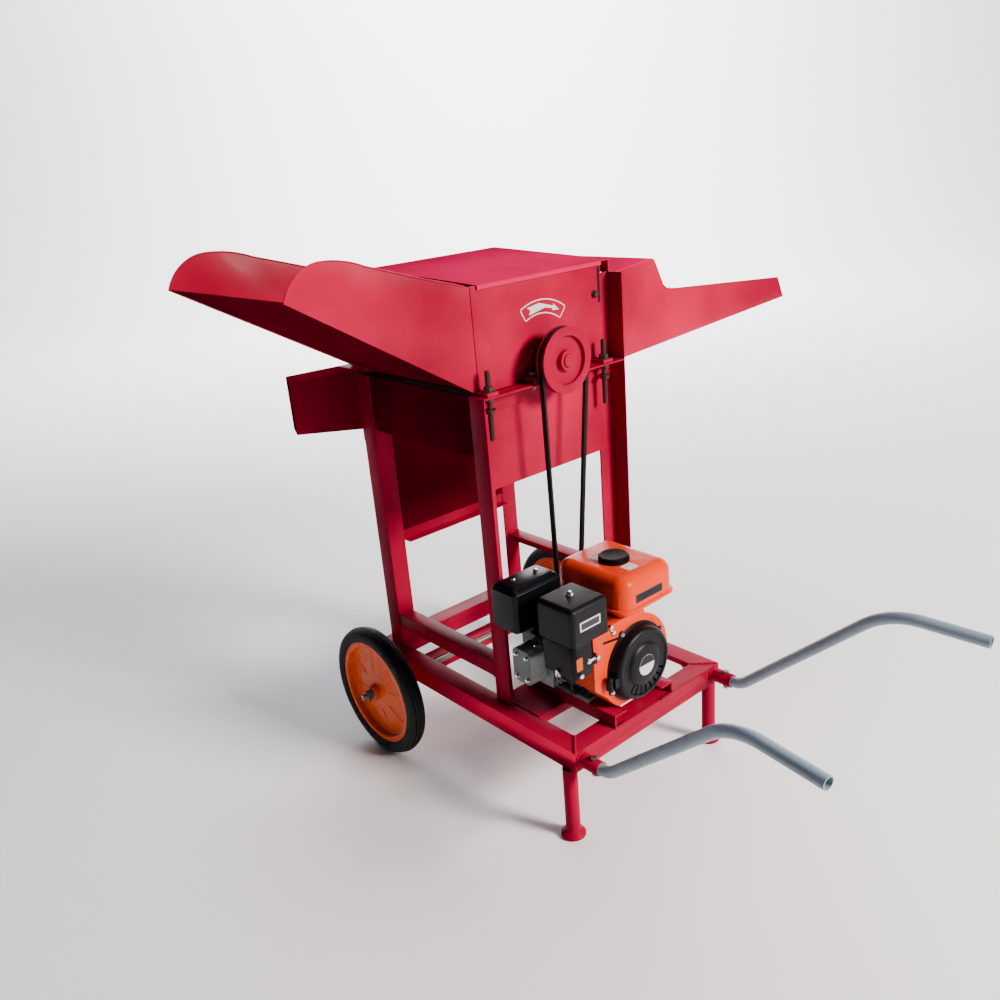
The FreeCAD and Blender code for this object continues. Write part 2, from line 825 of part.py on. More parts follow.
def feed_hood():
    inner_z = tray_low_z + tray_rise * hood_drop_share
    outer_z = tray_low_z + tray_rise
    outer_y = tray_inner_y + tray_reach * hood_front_share
    outline = [(tray_inner_y, inner_z), (outer_y, outer_z), (outer_y, outer_z + sheet),
               (tray_inner_y, inner_z + sheet)]
    top = prism_x(outline, tray_rear_x, tray_front_x)
    apron = box(rear_panel_x, front_panel_x, tray_inner_y, tray_inner_y + sheet,
                inner_z, roof_front_z + panel_surplus)
    return join([top, apron.cut(above_roof())])


# Concave
# A grate of bars under the drum, hung from two shelves on the side panels.
concave_gap = 8.0
concave_radius = drum_tip_radius + concave_gap
concave_bar_radius = 5.0
concave_rib_depth = 10.0
concave_rib_width = 8.0
concave_bar_count = 15
concave_wrap_angle = 144.0
concave_half_angle = concave_wrap_angle / 2.0
shelf_wall = 4.0
concave_rib_shares = (0.0, 0.5, 1.0)
concave_end_share = 0.94


def arc_plate(inner, outer, half_angle, x0, x1):
    """A flat arc below the shaft, between two radii."""
    low = math.radians(-90.0 - half_angle)
    high = math.radians(-90.0 + half_angle)
    down = math.radians(-90.0)
    corners = []
    for radius, turns in ((inner, (low, down, high)), (outer, (high, down, low))):
        for index, turn in enumerate(turns):
            point = (radius * math.cos(turn), axis_z + radius * math.sin(turn))
            corners.append(point + (("via",) if index == 1 else ()))
    return prism_x(corners, x0, x1)


def concave():
    x0 = rear_post_heel_x
    x1 = front_post_heel_x
    pieces = []
    span = x1 - x0 - concave_rib_width
    for share in concave_rib_shares:
        rib_x = x0 + span * share
        pieces.append(arc_plate(concave_radius, concave_radius + concave_rib_depth, concave_half_angle,
                                rib_x, rib_x + concave_rib_width))
    bar_circle = concave_radius + concave_bar_radius
    for index in range(concave_bar_count):
        share = index / (concave_bar_count - 1.0)
        turn = math.radians(-90.0 + (share * 2.0 - 1.0) * concave_half_angle * concave_end_share)
        y = bar_circle * math.cos(turn)
        z = axis_z + bar_circle * math.sin(turn)
        pieces.append(rod(concave_bar_radius, (x0, y, z), (x1, y, z)))
    top = axis_z - (concave_radius + concave_rib_depth) * math.cos(math.radians(concave_half_angle))
    inner_y = (concave_radius + concave_bar_radius) * math.sin(math.radians(concave_half_angle))
    for side in (-1, 1):
        low = min(side * inner_y, side * (post_inner_y - side_panel_wall))
        high = max(side * inner_y, side * (post_inner_y - side_panel_wall))
        pieces.append(box(x0, x1, low, high, top - shelf_wall, top))
    return join(pieces)


# Grain pan
# A trough below the concave that slopes back and ends in a tongue through the rear panel.
pan_depth = 141.0
pan_rear_z = seam_z - pan_depth
pan_wing_share = 1.3
pan_fall = 22.0
pan_flat_share = 0.315
pan_flat_half = tower_half_width * pan_flat_share
pan_side_rise = 64.0


def grain_pan():
    x0 = rear_post_heel_x
    x1 = front_post_heel_x
    side_y = post_inner_y - side_panel_wall
    slope = pan_fall / (x1 - x0)
    wing_wall = sheet * pan_wing_share
    outline = [(x0, -side_y, pan_rear_z + pan_side_rise), (x0, -pan_flat_half, pan_rear_z),
               (x0, pan_flat_half, pan_rear_z), (x0, side_y, pan_rear_z + pan_side_rise),
               (x0, side_y, pan_rear_z + pan_side_rise + wing_wall),
               (x0, pan_flat_half, pan_rear_z + sheet), (x0, -pan_flat_half, pan_rear_z + sheet),
               (x0, -side_y, pan_rear_z + pan_side_rise + wing_wall)]
    trough = Part.Face(wire_of(outline)).extrude(Vector(x1 - x0, 0, pan_fall))
    tongue_x = fan_front_x + fan_wall
    back = x0 - tongue_x
    tongue_z = pan_rear_z - slope * back
    tongue = [(tongue_x, -pan_flat_half, tongue_z), (tongue_x, pan_flat_half, tongue_z),
              (tongue_x, pan_flat_half, tongue_z + sheet), (tongue_x, -pan_flat_half, tongue_z + sheet)]
    tongue = Part.Face(wire_of(tongue)).extrude(Vector(back, 0, slope * back))
    return join([trough, tongue])


# Grain thrower
# A sheet volute behind the rear posts. Its rotor sits on the drum shaft and throws the grain out
# of a spout below the straw chute.
fan_wall = 2.0
fan_front_x = rear_post_heel_x - angle_leg - fan_wall
fan_depth = 78.0
fan_rear_x = fan_front_x - fan_depth
fan_share = 0.8363
fan_big_share = 0.9667
fan_radius = tower_half_width * fan_share
fan_big_radius = tower_half_width * fan_big_share
spout_rise_angle = 9.5
spout_joint_y = -tower_half_width
spout_reach = 207.6
spout_front_reach = 183.6
spout_rear_reach = 148.6
spout_inner_rise = 9.0
spout_outer_rise = 16.0
spout_end_y = -tower_half_width - spout_reach
spout_front_mouth_y = -tower_half_width - spout_front_reach
spout_rear_mouth_y = -tower_half_width - spout_rear_reach
spout_top_inner_z = seam_z + spout_inner_rise
spout_top_outer_z = seam_z + spout_outer_rise


def volute_outline(inset):
    """Outline of the volute and its spout, moved inward by inset."""
    radius = fan_radius - inset
    big = fan_big_radius - inset
    centre_y = fan_radius - fan_big_radius
    rise = math.radians(spout_rise_angle)
    toe = (centre_y - big * math.sin(rise), axis_z - big * math.cos(rise))
    run = spout_end_y - toe[0]
    end_low = toe[1] - run * math.tan(rise)
    drop = axis_z - spout_top_inner_z + inset
    cutoff = (-math.sqrt(radius * radius - drop * drop), axis_z - drop)
    half = math.radians(45.0)
    return [cutoff, (0, axis_z + radius, "via"), (radius, axis_z),
            (centre_y + big * math.cos(half), axis_z - big * math.sin(half), "via"), toe,
            (spout_end_y, end_low), (spout_end_y, spout_top_outer_z - inset)]


def volute_shell():
    outer = prism_x(volute_outline(0), fan_rear_x, fan_front_x)
    inner = prism_x(volute_outline(fan_wall), fan_rear_x - overrun, fan_front_x + overrun)
    mouth = box(fan_rear_x - overrun, fan_front_x + overrun, spout_end_y - overrun,
                spout_end_y + fan_wall, axis_z - fan_big_radius, axis_z)
    return outer.cut(inner).cut(mouth)


far_away = 2000.0


def beyond(y_limit, outward):
    far = far_away
    low = y_limit - far if outward else y_limit
    high = y_limit if outward else y_limit + far
    return box(-far, far, low, high, -far, far)


def fan_casing():
    wall = volute_shell().common(beyond(spout_joint_y, False))
    plate = prism_x(volute_outline(fan_wall), fan_rear_x, fan_rear_x + fan_wall)
    plate = plate.common(beyond(spout_joint_y, False))
    return join([wall, plate])


def spout_mouth():
    """Everything beyond the slanted mouth of the spout."""
    corners = [(fan_rear_x, spout_rear_mouth_y), (fan_front_x, spout_front_mouth_y),
               (fan_front_x + overrun, spout_front_mouth_y), (fan_front_x + overrun, spout_end_y - overrun),
               (fan_rear_x - overrun, spout_end_y - overrun), (fan_rear_x - overrun, spout_rear_mouth_y)]
    return prism_z(corners, axis_z - fan_big_radius - overrun, axis_z + fan_big_radius)


def grain_spout():
    walls = volute_shell().common(beyond(spout_joint_y, True))
    rear = prism_x(volute_outline(fan_wall), fan_rear_x, fan_rear_x + fan_wall)
    front = prism_x(volute_outline(fan_wall), fan_front_x - fan_wall, fan_front_x)
    plates = [plate.common(beyond(spout_joint_y, True)) for plate in (rear, front)]
    return join([walls] + plates).cut(spout_mouth())


fan_plate_bottom_z = axis_z - fan_big_radius
fan_plate_top_z = axis_z + fan_radius


def fan_front_plate():
    plate = box(fan_front_x, fan_front_x + fan_wall, -tower_half_width, tower_half_width,
                fan_plate_bottom_z, fan_plate_top_z)
    return less(plate, [shaft_hole(fan_front_x, fan_front_x + fan_wall),
                        tongue_window(fan_front_x, fan_front_x + fan_wall)])


rotor_tip_gap = 16.0
rotor_radius = fan_radius - rotor_tip_gap
rotor_hub_radius = 34.0
rotor_gap = 8.0
rotor_blade_wall = 4.0
rotor_blade_count = 6


def fan_rotor():
    x0 = fan_rear_x + fan_wall + rotor_gap
    x1 = fan_front_x - rotor_gap
    pieces = [rod(rotor_hub_radius, (x0, 0, axis_z), (x1, 0, axis_z))]
    for index in range(rotor_blade_count):
        blade = box(x0, x1, 0, rotor_radius, axis_z - rotor_blade_wall / 2.0, axis_z + rotor_blade_wall / 2.0)
        blade.rotate(Vector(0, 0, axis_z), Vector(1, 0, 0), index * 360.0 / rotor_blade_count)
        pieces.append(blade)
    return join(pieces).cut(rod(shaft_radius, (x0 - overrun, 0, axis_z), (x1 + overrun, 0, axis_z)))


# Drum
# A spike-tooth drum on one shaft with the pulley and the thrower's rotor.
drum_side_gap = 14.0
drum_core_radius = 95.0
drum_core_wall = 4.0
drum_bar_count = 6
drum_bar_width = 30.0
drum_bar_height = 8.0
tooth_radius = 6.0
teeth_per_bar = 7
tooth_edge_share = 0.07
tooth_stagger_share = 0.07
shaft_front_x = 520.0
shaft_rear_x = fan_rear_x + fan_wall + rotor_gap / 2.0


def drum_shaft():
    shaft = rod(shaft_radius, (shaft_rear_x, 0, axis_z), (shaft_front_x, 0, axis_z))
    return shaft


def drum_span():
    return rear_post_heel_x + drum_side_gap, front_post_heel_x - drum_side_gap


def drum_bar_top():
    return drum_core_radius + drum_bar_height


def drum():
    x0, x1 = drum_span()
    skin = tube(drum_core_radius, drum_core_radius - drum_core_wall, (x0, 0, axis_z), (x1, 0, axis_z))
    pieces = [skin]
    for end_x in (x0, x1 - drum_core_wall):
        pieces.append(tube(drum_core_radius - drum_core_wall, shaft_radius, (end_x, 0, axis_z),
                           (end_x + drum_core_wall, 0, axis_z)))
    for index in range(drum_bar_count):
        bar = box(x0, x1, -drum_bar_width / 2.0, drum_bar_width / 2.0,
                  axis_z + drum_core_radius - drum_core_wall, axis_z + drum_bar_top())
        bar.rotate(Vector(0, 0, axis_z), Vector(1, 0, 0), index * 360.0 / drum_bar_count)
        pieces.append(bar)
    body = join(pieces)
    hollow = rod(drum_core_radius - drum_core_wall, (x0 + drum_core_wall, 0, axis_z),
                 (x1 - drum_core_wall, 0, axis_z))
    return body.cut(hollow)


def drum_teeth():
    x0, x1 = drum_span()
    width = x1 - x0
    solids = []
    for bar in range(drum_bar_count):
        shift = (bar % 2) * tooth_stagger_share
        for index in range(teeth_per_bar):
            run_share = 1.0 - 2.0 * tooth_edge_share - tooth_stagger_share
            share = tooth_edge_share + shift + run_share * index / (teeth_per_bar - 1.0)
            x = x0 + width * share
            tooth = rod(tooth_radius, (x, 0, axis_z + drum_bar_top()), (x, 0, axis_z + drum_tip_radius))
            tooth.rotate(Vector(0, 0, axis_z), Vector(1, 0, 0), bar * 360.0 / drum_bar_count)
            solids.append(tooth)
    return group(solids)


# Belt drive
# One V-belt runs from the small pulley on the engine to the large one on the drum shaft.
pulley_width = 24.0
drum_pulley_radius = 74.0
engine_pulley_radius = 34.0
belt_top_width = 13.0
belt_depth = 8.0
belt_slope_share = 0.33
groove_clearance = 0.35
groove_side_clearance = 0.42
belt_sink = 0.5
pulley_recess_depth = 9.0
pulley_recess_radius = 54.0
pulley_hub_radius = 23.0
pulley_hub_proud = 3.0
engine_pulley_hub_radius = 18.0
crank_radius = 10.0


def grooved_pulley(radius, bore, y, z):
    half = pulley_width / 2.0
    bottom = radius - belt_sink - belt_depth - groove_clearance
    top_half = belt_top_width / 2.0 + groove_side_clearance + belt_sink * belt_slope_share
    low_half = top_half - belt_slope_share * (radius - bottom)
    profile = [(belt_plane_x - half, bore), (belt_plane_x - half, radius),
               (belt_plane_x - top_half, radius), (belt_plane_x - low_half, bottom),
               (belt_plane_x + low_half, bottom), (belt_plane_x + top_half, radius),
               (belt_plane_x + half, radius), (belt_plane_x + half, bore)]
    return turned_x(profile, y, z)


def drum_pulley():
    body = grooved_pulley(drum_pulley_radius, shaft_radius, 0, axis_z)
    face = belt_plane_x + pulley_width / 2.0
    recess = tube(pulley_recess_radius, pulley_hub_radius, (face - pulley_recess_depth, 0, axis_z),
                  (face + overrun, 0, axis_z))
    hub = tube(pulley_hub_radius, shaft_radius, (face - pulley_recess_depth, 0, axis_z),
               (face + pulley_hub_proud, 0, axis_z))
    return join([body.cut(recess), hub])


def engine_pulley():
    return grooved_pulley(engine_pulley_radius, crank_radius, crank_y, crank_z)


def belt_path(drum_r, crank_r):
    """Tangent lines and arcs round both pulleys at given radii, as a closed wire."""
    a = Vector(belt_plane_x, 0, axis_z)
    b = Vector(belt_plane_x, crank_y, crank_z)
    run = b - a
    distance = run.Length
    along = Vector(run)
    along.normalize()
    across = Vector(0, -along.z, along.y)
    tilt = math.asin((drum_r - crank_r) / distance)
    left = along * math.sin(tilt) + across * math.cos(tilt)
    right = along * math.sin(tilt) - across * math.cos(tilt)
    edges = [Part.LineSegment(a + left * drum_r, b + left * crank_r).toShape(),
             Part.Arc(b + left * crank_r, b + along * crank_r, b + right * crank_r).toShape(),
             Part.LineSegment(b + right * crank_r, a + right * drum_r).toShape(),
             Part.Arc(a + right * drum_r, a - along * drum_r, a + left * drum_r).toShape()]
    return Part.Wire(edges), a + left * drum_r, left


def drive_belt():
    outer_drum = drum_pulley_radius - belt_sink
    outer_crank = engine_pulley_radius - belt_sink
    path, start, outward = belt_path(outer_drum, outer_crank)
    half = belt_top_width / 2.0
    low_half = half - belt_slope_share * belt_depth
    inner = start - outward * belt_depth
    x_way = Vector(1, 0, 0)
    corners = [start - x_way * half, start + x_way * half, inner + x_way * low_half, inner - x_way * low_half]
    section = Part.makePolygon(corners + [corners[0]])
    return path.makePipeShell([section], True, True)


# Pillow blocks
# Cast housings that hold the shaft on the ledges at both ends of the box.
bearing_offset = 22.5
bearing_bolt_end = 16.0
bearing_base_width = 40.0
bearing_base_height = 15.0
bearing_body_radius = 38.0
bearing_body_width = 34.0
bearing_ring_radius = 22.0
bearing_ring_width = 38.0
bearing_bolt_span = 118.0
bearing_bolt_radius = 6.0
bearing_base_length = bearing_bolt_span + 2.0 * bearing_bolt_end


def bearing_block(panel_x, reach):
    x = panel_x + reach * bearing_offset
    base = box(x - bearing_base_width / 2.0, x + bearing_base_width / 2.0,
               -bearing_base_length / 2.0, bearing_base_length / 2.0, seam_z, seam_z + bearing_base_height)
    half = bearing_body_width / 2.0
    body = rod(bearing_body_radius, (x - half, 0, axis_z), (x + half, 0, axis_z))
    saddle = box(x - half, x + half, -bearing_body_radius, bearing_body_radius, seam_z, axis_z)
    ring_half = bearing_ring_width / 2.0
    ring = rod(bearing_ring_radius, (x - ring_half, 0, axis_z), (x + ring_half, 0, axis_z))
    block = join([base, body, saddle, ring])
    cutters = [rod(shaft_radius + running_clearance, (x - overrun * 2, 0, axis_z), (x + overrun * 2, 0, axis_z))]
    for side in (-1, 1):
        y = side * bearing_bolt_span / 2.0
        cutters.append(rod(bearing_bolt_radius + loose_clearance, (x, y, seam_z - overrun),
                           (x, y, seam_z + overrun * 2)))
    return less(block, cutters)


def bearing_blocks():
    return group([bearing_block(front_panel_x, 1), bearing_block(rear_panel_x, -1)])


# Fasteners of the frame: bearing bolts, engine bolts, handle bolts and axle clips
bolt_head_height = 7.0
bolt_head_flats = 18.0
small_head_flats = 13.0
small_head_height = 5.5
bolt_tail = 4.0


def bolt(radius, flats, head_height, top, bottom, nut_top, nut_height):
    """A bolt with its head seated on top and a nut whose upper face lies at nut_top."""
    stem = rod(radius, bottom, top)
    head = hexagon(flats, top, (top[0], top[1], top[2] + head_height))
    nut = hexagon(flats, (top[0], top[1], nut_top - nut_height), (top[0], top[1], nut_top))
    return join([stem, head, nut])


def frame_bolts():
    solids = []
    for panel_x, reach in ((front_panel_x, 1), (rear_panel_x, -1)):
        x = panel_x + reach * bearing_offset
        for side in (-1, 1):
            y = side * bearing_bolt_span / 2.0
            top = (x, y, seam_z + bearing_base_height)
            nut_top = seam_z - angle_wall
            bottom = (x, y, nut_top - bolt_head_height - bolt_tail)
            solids.append(bolt(bearing_bolt_radius, bolt_head_flats, bolt_head_height, top, bottom,
                               nut_top, bolt_head_height))
    for x, y in engine_bolt_places():
        top = (x, y, engine_base_z + foot_flange_wall)
        nut_top = engine_base_z - angle_wall
        bottom = (x, y, nut_top - small_head_height - bolt_tail)
        solids.append(bolt(engine_bolt_radius, small_head_flats, small_head_height, top, bottom,
                           nut_top, small_head_height))
    for side in (-1, 1):
        y = side * socket_y
        top = (handle_bolt_x, y, socket_z + socket_radius)
        nut_top = socket_z - socket_radius
        bottom = (handle_bolt_x, y, nut_top - small_head_height - bolt_tail)
        solids.append(bolt(handle_bolt_radius, small_head_flats, small_head_height, top, bottom,
                           nut_top, small_head_height))
    return group(solids)


# Engine
# A single-cylinder air-cooled engine. The crankshaft lies along X, the cylinder points to -Y,
# the pulley is on the tower's side and the recoil starter faces the handles.
engine_pto_x = 520.0
engine_block_front_x = 648.0
engine_block_half_y = 72.0
engine_block_shift_y = -8.0
engine_block_height = 190.0
engine_block_top_z = engine_base_z + engine_block_height
foot_flange_wall = 12.0
foot_flange_margin = 20.0
pto_boss_radius = 42.0
pto_boss_proud = 4.0
barrel_rear_x = 530.0
barrel_front_x = 606.0
barrel_length = 136.0
barrel_drop = 24.0
barrel_rise = 76.0
barrel_end_y = crank_y - barrel_length
barrel_low_z = crank_z - barrel_drop
barrel_high_z = crank_z + barrel_rise
fin_count = 6
fin_wall = 3.0
fin_depth = 9.0
tank_post_radius = 12.0
block_corner_radius = 14.0


def engine_block():
    low_z = engine_base_z + foot_flange_wall
    middle_y = crank_y + engine_block_shift_y
    block = box(engine_pto_x, engine_block_front_x, middle_y - engine_block_half_y,
                middle_y + engine_block_half_y, low_z, engine_block_top_z)
    long_edges = [e for e in block.Edges if abs(e.tangentAt(e.FirstParameter).x) > along_share]
    block = block.makeFillet(block_corner_radius, long_edges)
    half_x = engine_bolt_span_x / 2.0 + foot_flange_margin
    half_y = engine_bolt_span_y / 2.0 + foot_flange_margin
    foot = box(engine_bolt_middle_x - half_x, engine_bolt_middle_x + half_x,
               engine_bolt_middle_y - half_y, engine_bolt_middle_y + half_y, engine_base_z, low_z)
    boss = rod(pto_boss_radius, (engine_pto_x - pto_boss_proud, crank_y, crank_z),
               (engine_pto_x, crank_y, crank_z))
    barrel = box(barrel_rear_x, barrel_front_x, barrel_end_y, crank_y, barrel_low_z, barrel_high_z)
    pieces = [block, foot, boss, barrel]
    start_y = middle_y - engine_block_half_y
    pitch = (start_y - barrel_end_y) / fin_count
    for index in range(fin_count):
        y = barrel_end_y + pitch * index
        pieces.append(box(barrel_rear_x - fin_depth, barrel_front_x + fin_depth, y, y + fin_wall,
                          barrel_low_z - fin_depth, barrel_high_z + fin_depth))
    for share_x in tank_post_x_shares:
        for share_y in tank_post_y_shares:
            x = engine_pto_x + (engine_block_front_x - engine_pto_x) * share_x
            y = middle_y + engine_block_half_y * share_y
            pieces.append(rod(tank_post_radius, (x, y, engine_block_top_z - block_corner_radius),
                              (x, y, tank_bottom_z - bowl_depth)))
    holes = [rod(engine_hole_radius, (x, y, engine_base_z - overrun), (x, y, engine_base_z + overrun))
             for x, y in engine_bolt_places()]
    bore = rod(crank_radius + running_clearance,
               (engine_pto_x - overrun, crank_y, crank_z), (engine_block_front_x + overrun, crank_y, crank_z))
    heads = [hexagon_clear(x, y) for x, y in engine_bolt_places()]
    return less(join(pieces), holes + [bore] + heads)


head_room_share = 0.75


def hexagon_clear(x, y):
    """Room above a foot bolt for its head."""
    z = engine_base_z + foot_flange_wall
    return rod(small_head_flats * head_room_share, (x, y, z), (x, y, z + small_head_height + loose_clearance))


tank_post_x_shares = (0.2, 0.8)
tank_post_y_shares = (-0.55, 0.55)
crank_rear_x = 484.0
crank_inner_x = 668.0


def crankshaft():
    return rod(crank_radius, (crank_rear_x, crank_y, crank_z), (crank_inner_x, crank_y, crank_z))


head_length = 36.0
head_fin_count = 3
rocker_length = 48.0
rocker_inset = 8.0
rocker_corner = 14.0


def cylinder_head():
    y1 = barrel_end_y
    y0 = y1 - head_length
    pieces = [box(barrel_rear_x, barrel_front_x, y0, y1, barrel_low_z, barrel_high_z)]
    pitch = head_length / head_fin_count
    for index in range(head_fin_count):
        y = y0 + pitch * index
        pieces.append(box(barrel_rear_x - fin_depth, barrel_front_x + fin_depth, y, y + fin_wall,
                          barrel_low_z - fin_depth, barrel_high_z + fin_depth))
    cover = box(barrel_rear_x + rocker_inset, barrel_front_x - rocker_inset, y0 - rocker_length, y0,
                barrel_low_z + rocker_inset, barrel_high_z - rocker_inset)
    edges = [e for e in cover.Edges if abs(e.tangentAt(e.FirstParameter).y) > along_share]
    pieces.append(cover.makeFillet(rocker_corner, edges))
    return join(pieces)


plug_radius = 9.0
plug_length = 22.0
plug_cap_radius = 11.0
plug_cap_length = 26.0
lead_radius = 3.5


def plug_place():
    return (barrel_front_x + fin_depth, barrel_end_y - head_length / 2.0, crank_z)


def spark_plug():
    x1, y, z = plug_place()
    body = rod(plug_radius, (x1, y, z), (x1 + plug_length, y, z))
    cap = rod(plug_cap_radius, (x1 + plug_length, y, z), (x1 + plug_length + plug_cap_length, y, z))
    return join([body, cap])


lead_drop = 44.0
lead_drop_z = crank_z - lead_drop
lead_bend_radius = 12.0
lead_place_share = 0.7
lead_reach = 112.0
lead_end_y = crank_y - lead_reach


def plug_lead():
    """The lead: down from the cap, towards the shroud and up into its underside."""
    x = barrel_front_x + fin_depth + plug_length + plug_cap_length * lead_place_share
    y = barrel_end_y - head_length / 2.0
    points = [Vector(x, y, crank_z), Vector(x, y, lead_drop_z), Vector(x, lead_end_y, lead_drop_z),
              Vector(x, lead_end_y, crank_z)]
    print("plug lead arc radius", lead_bend_radius)
    lead = swept(rounded_path(points, (lead_bend_radius, lead_bend_radius)), lead_radius)
    return less(lead, [spark_plug(), prism_x(shroud_outline(), shroud_rear_x - overrun, shroud_front_x)])


# Fan shroud and recoil starter
shroud_rear_x = engine_block_front_x
shroud_depth = 62.0
shroud_front_x = shroud_rear_x + shroud_depth
shroud_radius = 112.0
shroud_left_reach = 135.0
shroud_right_reach = 34.0
shroud_rise = 120.0
shroud_knee_drop = 22.0
shroud_foot_reach = 54.0
shroud_foot_gap = 3.0
shroud_left_y = crank_y - shroud_left_reach
shroud_right_y = crank_y + shroud_right_reach
shroud_top_z = crank_z + shroud_rise
shroud_knee_z = crank_z - shroud_knee_drop
shroud_foot_y = crank_y - shroud_foot_reach
shroud_foot_z = engine_base_z + shroud_foot_gap
shroud_wall = 3.0
shroud_bore_radius = 88.0
shroud_hub_hole = 20.0


def shroud_outline():
    return [(shroud_left_y, shroud_top_z), (shroud_left_y, shroud_knee_z),
            (shroud_foot_y, shroud_foot_z), (crank_y, shroud_foot_z), (shroud_right_y, shroud_foot_z),
            (shroud_right_y, shroud_top_z)]


def fan_shroud():
    skirt = prism_x(shroud_outline(), shroud_rear_x, shroud_front_x)
    drum_part = rod(shroud_radius, (shroud_rear_x, crank_y, crank_z), (shroud_front_x, crank_y, crank_z))
    floor_cut = box(shroud_rear_x - overrun, shroud_front_x + overrun, crank_y - shroud_radius * 2,
                    crank_y + shroud_radius * 2, crank_z - shroud_radius * 2, shroud_foot_z)
    body = join([skirt, drum_part]).cut(floor_cut)
    hollow = rod(shroud_bore_radius, (shroud_rear_x + shroud_wall, crank_y, crank_z),
                 (shroud_front_x + overrun, crank_y, crank_z))
    shaft_room = rod(shroud_hub_hole, (shroud_rear_x - overrun, crank_y, crank_z),
                     (shroud_front_x, crank_y, crank_z))
    return less(body, [hollow, shaft_room])


# Flywheel
# It turns with the crankshaft inside the shroud; its blades blow cooling air over the cylinder.
flywheel_gap = 8.0
flywheel_rear_x = shroud_rear_x + flywheel_gap
flywheel_disc_wall = 12.0
flywheel_radius = 80.0
flywheel_blade_depth = 20.0
flywheel_blade_wall = 4.0
flywheel_blade_low = 52.0
flywheel_blade_count = 12


def flywheel():
    disc_x = flywheel_rear_x + flywheel_disc_wall
    pieces = [rod(flywheel_radius, (flywheel_rear_x, crank_y, crank_z), (disc_x, crank_y, crank_z))]
    for index in range(flywheel_blade_count):
        blade = box(disc_x, disc_x + flywheel_blade_depth, -flywheel_blade_wall / 2.0,
                    flywheel_blade_wall / 2.0, flywheel_blade_low, flywheel_radius - flywheel_blade_wall)
        blade.rotate(Vector(0, 0, 0), Vector(1, 0, 0), index * 360.0 / flywheel_blade_count)
        blade.translate(Vector(0, crank_y, crank_z))
        pieces.append(blade)
    return join(pieces).cut(rod(crank_radius, (flywheel_rear_x - overrun, crank_y, crank_z),
                                (disc_x + overrun, crank_y, crank_z)))


recoil_radius = 88.0
recoil_depth = 27.0
recoil_wall = 3.0
recoil_bore_radius = 83.0
recoil_dome = 8.0
recoil_dome_radius = 70.0
recoil_flange_radius = 95.0
recoil_flange_wall = 3.0
recoil_boss_proud = 8.0
recoil_boss_y = recoil_radius + recoil_boss_proud
recoil_boss_half = 12.0
rope_drop = 12.0
rope_z = crank_z - rope_drop
rope_radius = 2.2
rope_hole_gap = 0.4
rope_hole_radius = rope_radius + rope_hole_gap
rope_tail = 78.0
recoil_slot_count = 8


def recoil_front_x():
    return shroud_front_x + recoil_depth


def recoil_cover():
    x0 = shroud_front_x
    x1 = recoil_front_x()
    flange = rod(recoil_flange_radius, (x0, crank_y, crank_z), (x0 + recoil_flange_wall, crank_y, crank_z))
    barrel = rod(recoil_radius, (x0, crank_y, crank_z), (x1, crank_y, crank_z))
    dome = cone(recoil_radius, recoil_dome_radius, (x1, crank_y, crank_z), (x1 + recoil_dome, crank_y, crank_z))
    boss_x = (x0 + x1) / 2.0
    boss = box(boss_x - recoil_boss_half, boss_x + recoil_boss_half, crank_y - recoil_boss_y, crank_y,
               rope_z - recoil_boss_half, rope_z + recoil_boss_half)
    body = join([flange, barrel, dome, boss])
    hollow = rod(recoil_bore_radius, (x0 - overrun, crank_y, crank_z), (x1 - recoil_wall, crank_y, crank_z))
    rope_hole = rod(rope_hole_radius, (boss_x, crank_y - recoil_boss_y - overrun, rope_z),
                    (boss_x, crank_y, rope_z))
    cutters = [hollow, rope_hole]
    for index in range(recoil_slot_count):
        turn = recoil_slot_first_angle + recoil_slot_sweep * index / (recoil_slot_count - 1.0)
        slot = box(x1 - overrun, x1 + overrun, -recoil_slot_width / 2.0, recoil_slot_width / 2.0,
                   recoil_slot_low, recoil_slot_high)
        slot.rotate(Vector(0, 0, 0), Vector(1, 0, 0), turn)
        slot.translate(Vector(0, crank_y, crank_z))
        cutters.append(slot)
    return less(body, cutters)


recoil_slot_first_angle = 140.0
recoil_slot_sweep = 100.0
recoil_slot_width = 5.0
recoil_slot_low = 44.0
recoil_slot_high = 66.0
grip_length = 34.0
grip_depth = 13.0
grip_width = 16.0
grip_gap = 0.3
grip_corner = 5.0


def starter_grip():
    boss_x = (shroud_front_x + recoil_front_x()) / 2.0
    y1 = crank_y - recoil_boss_y - grip_gap
    y0 = y1 - grip_depth
    bar = box(boss_x - grip_width / 2.0, boss_x + grip_width / 2.0, y0, y1,
              rope_z - grip_length / 2.0, rope_z + grip_length / 2.0)
    bar = bar.makeFillet(grip_corner, bar.Edges)
    rope = rod(rope_radius, (boss_x, (y0 + y1) / 2.0, rope_z), (boss_x, y1 + rope_tail, rope_z))
    return join([bar, rope])


# Fuel tank
tank_rear_x = 522.0
tank_front_x = 735.0
tank_left_reach = 60.0
tank_right_reach = 116.0
tank_lift = 143.0
tank_left_y = crank_y - tank_left_reach
tank_right_y = crank_y + tank_right_reach
tank_bottom_z = crank_z + tank_lift
tank_height = 80.0
tank_wall = 1.5
tank_seam_height = 6.0
bowl_depth = 22.0
bowl_inset = 14.0
bowl_corner_radius = 12.0
tank_seam_proud = 5.0
tank_corner_radius = 34.0
tank_crown_radius = 29.0
cap_radius = 36.0
cap_skirt_height = 4.0
cap_knob_radius = 34.0
cap_height = 13.5
cap_x = 636.0
cap_shift_y = 20.0
cap_y = crank_y + cap_shift_y
neck_radius = 18.0
neck_bore_radius = 15.0
neck_height = 4.0
cap_gap = 0.3


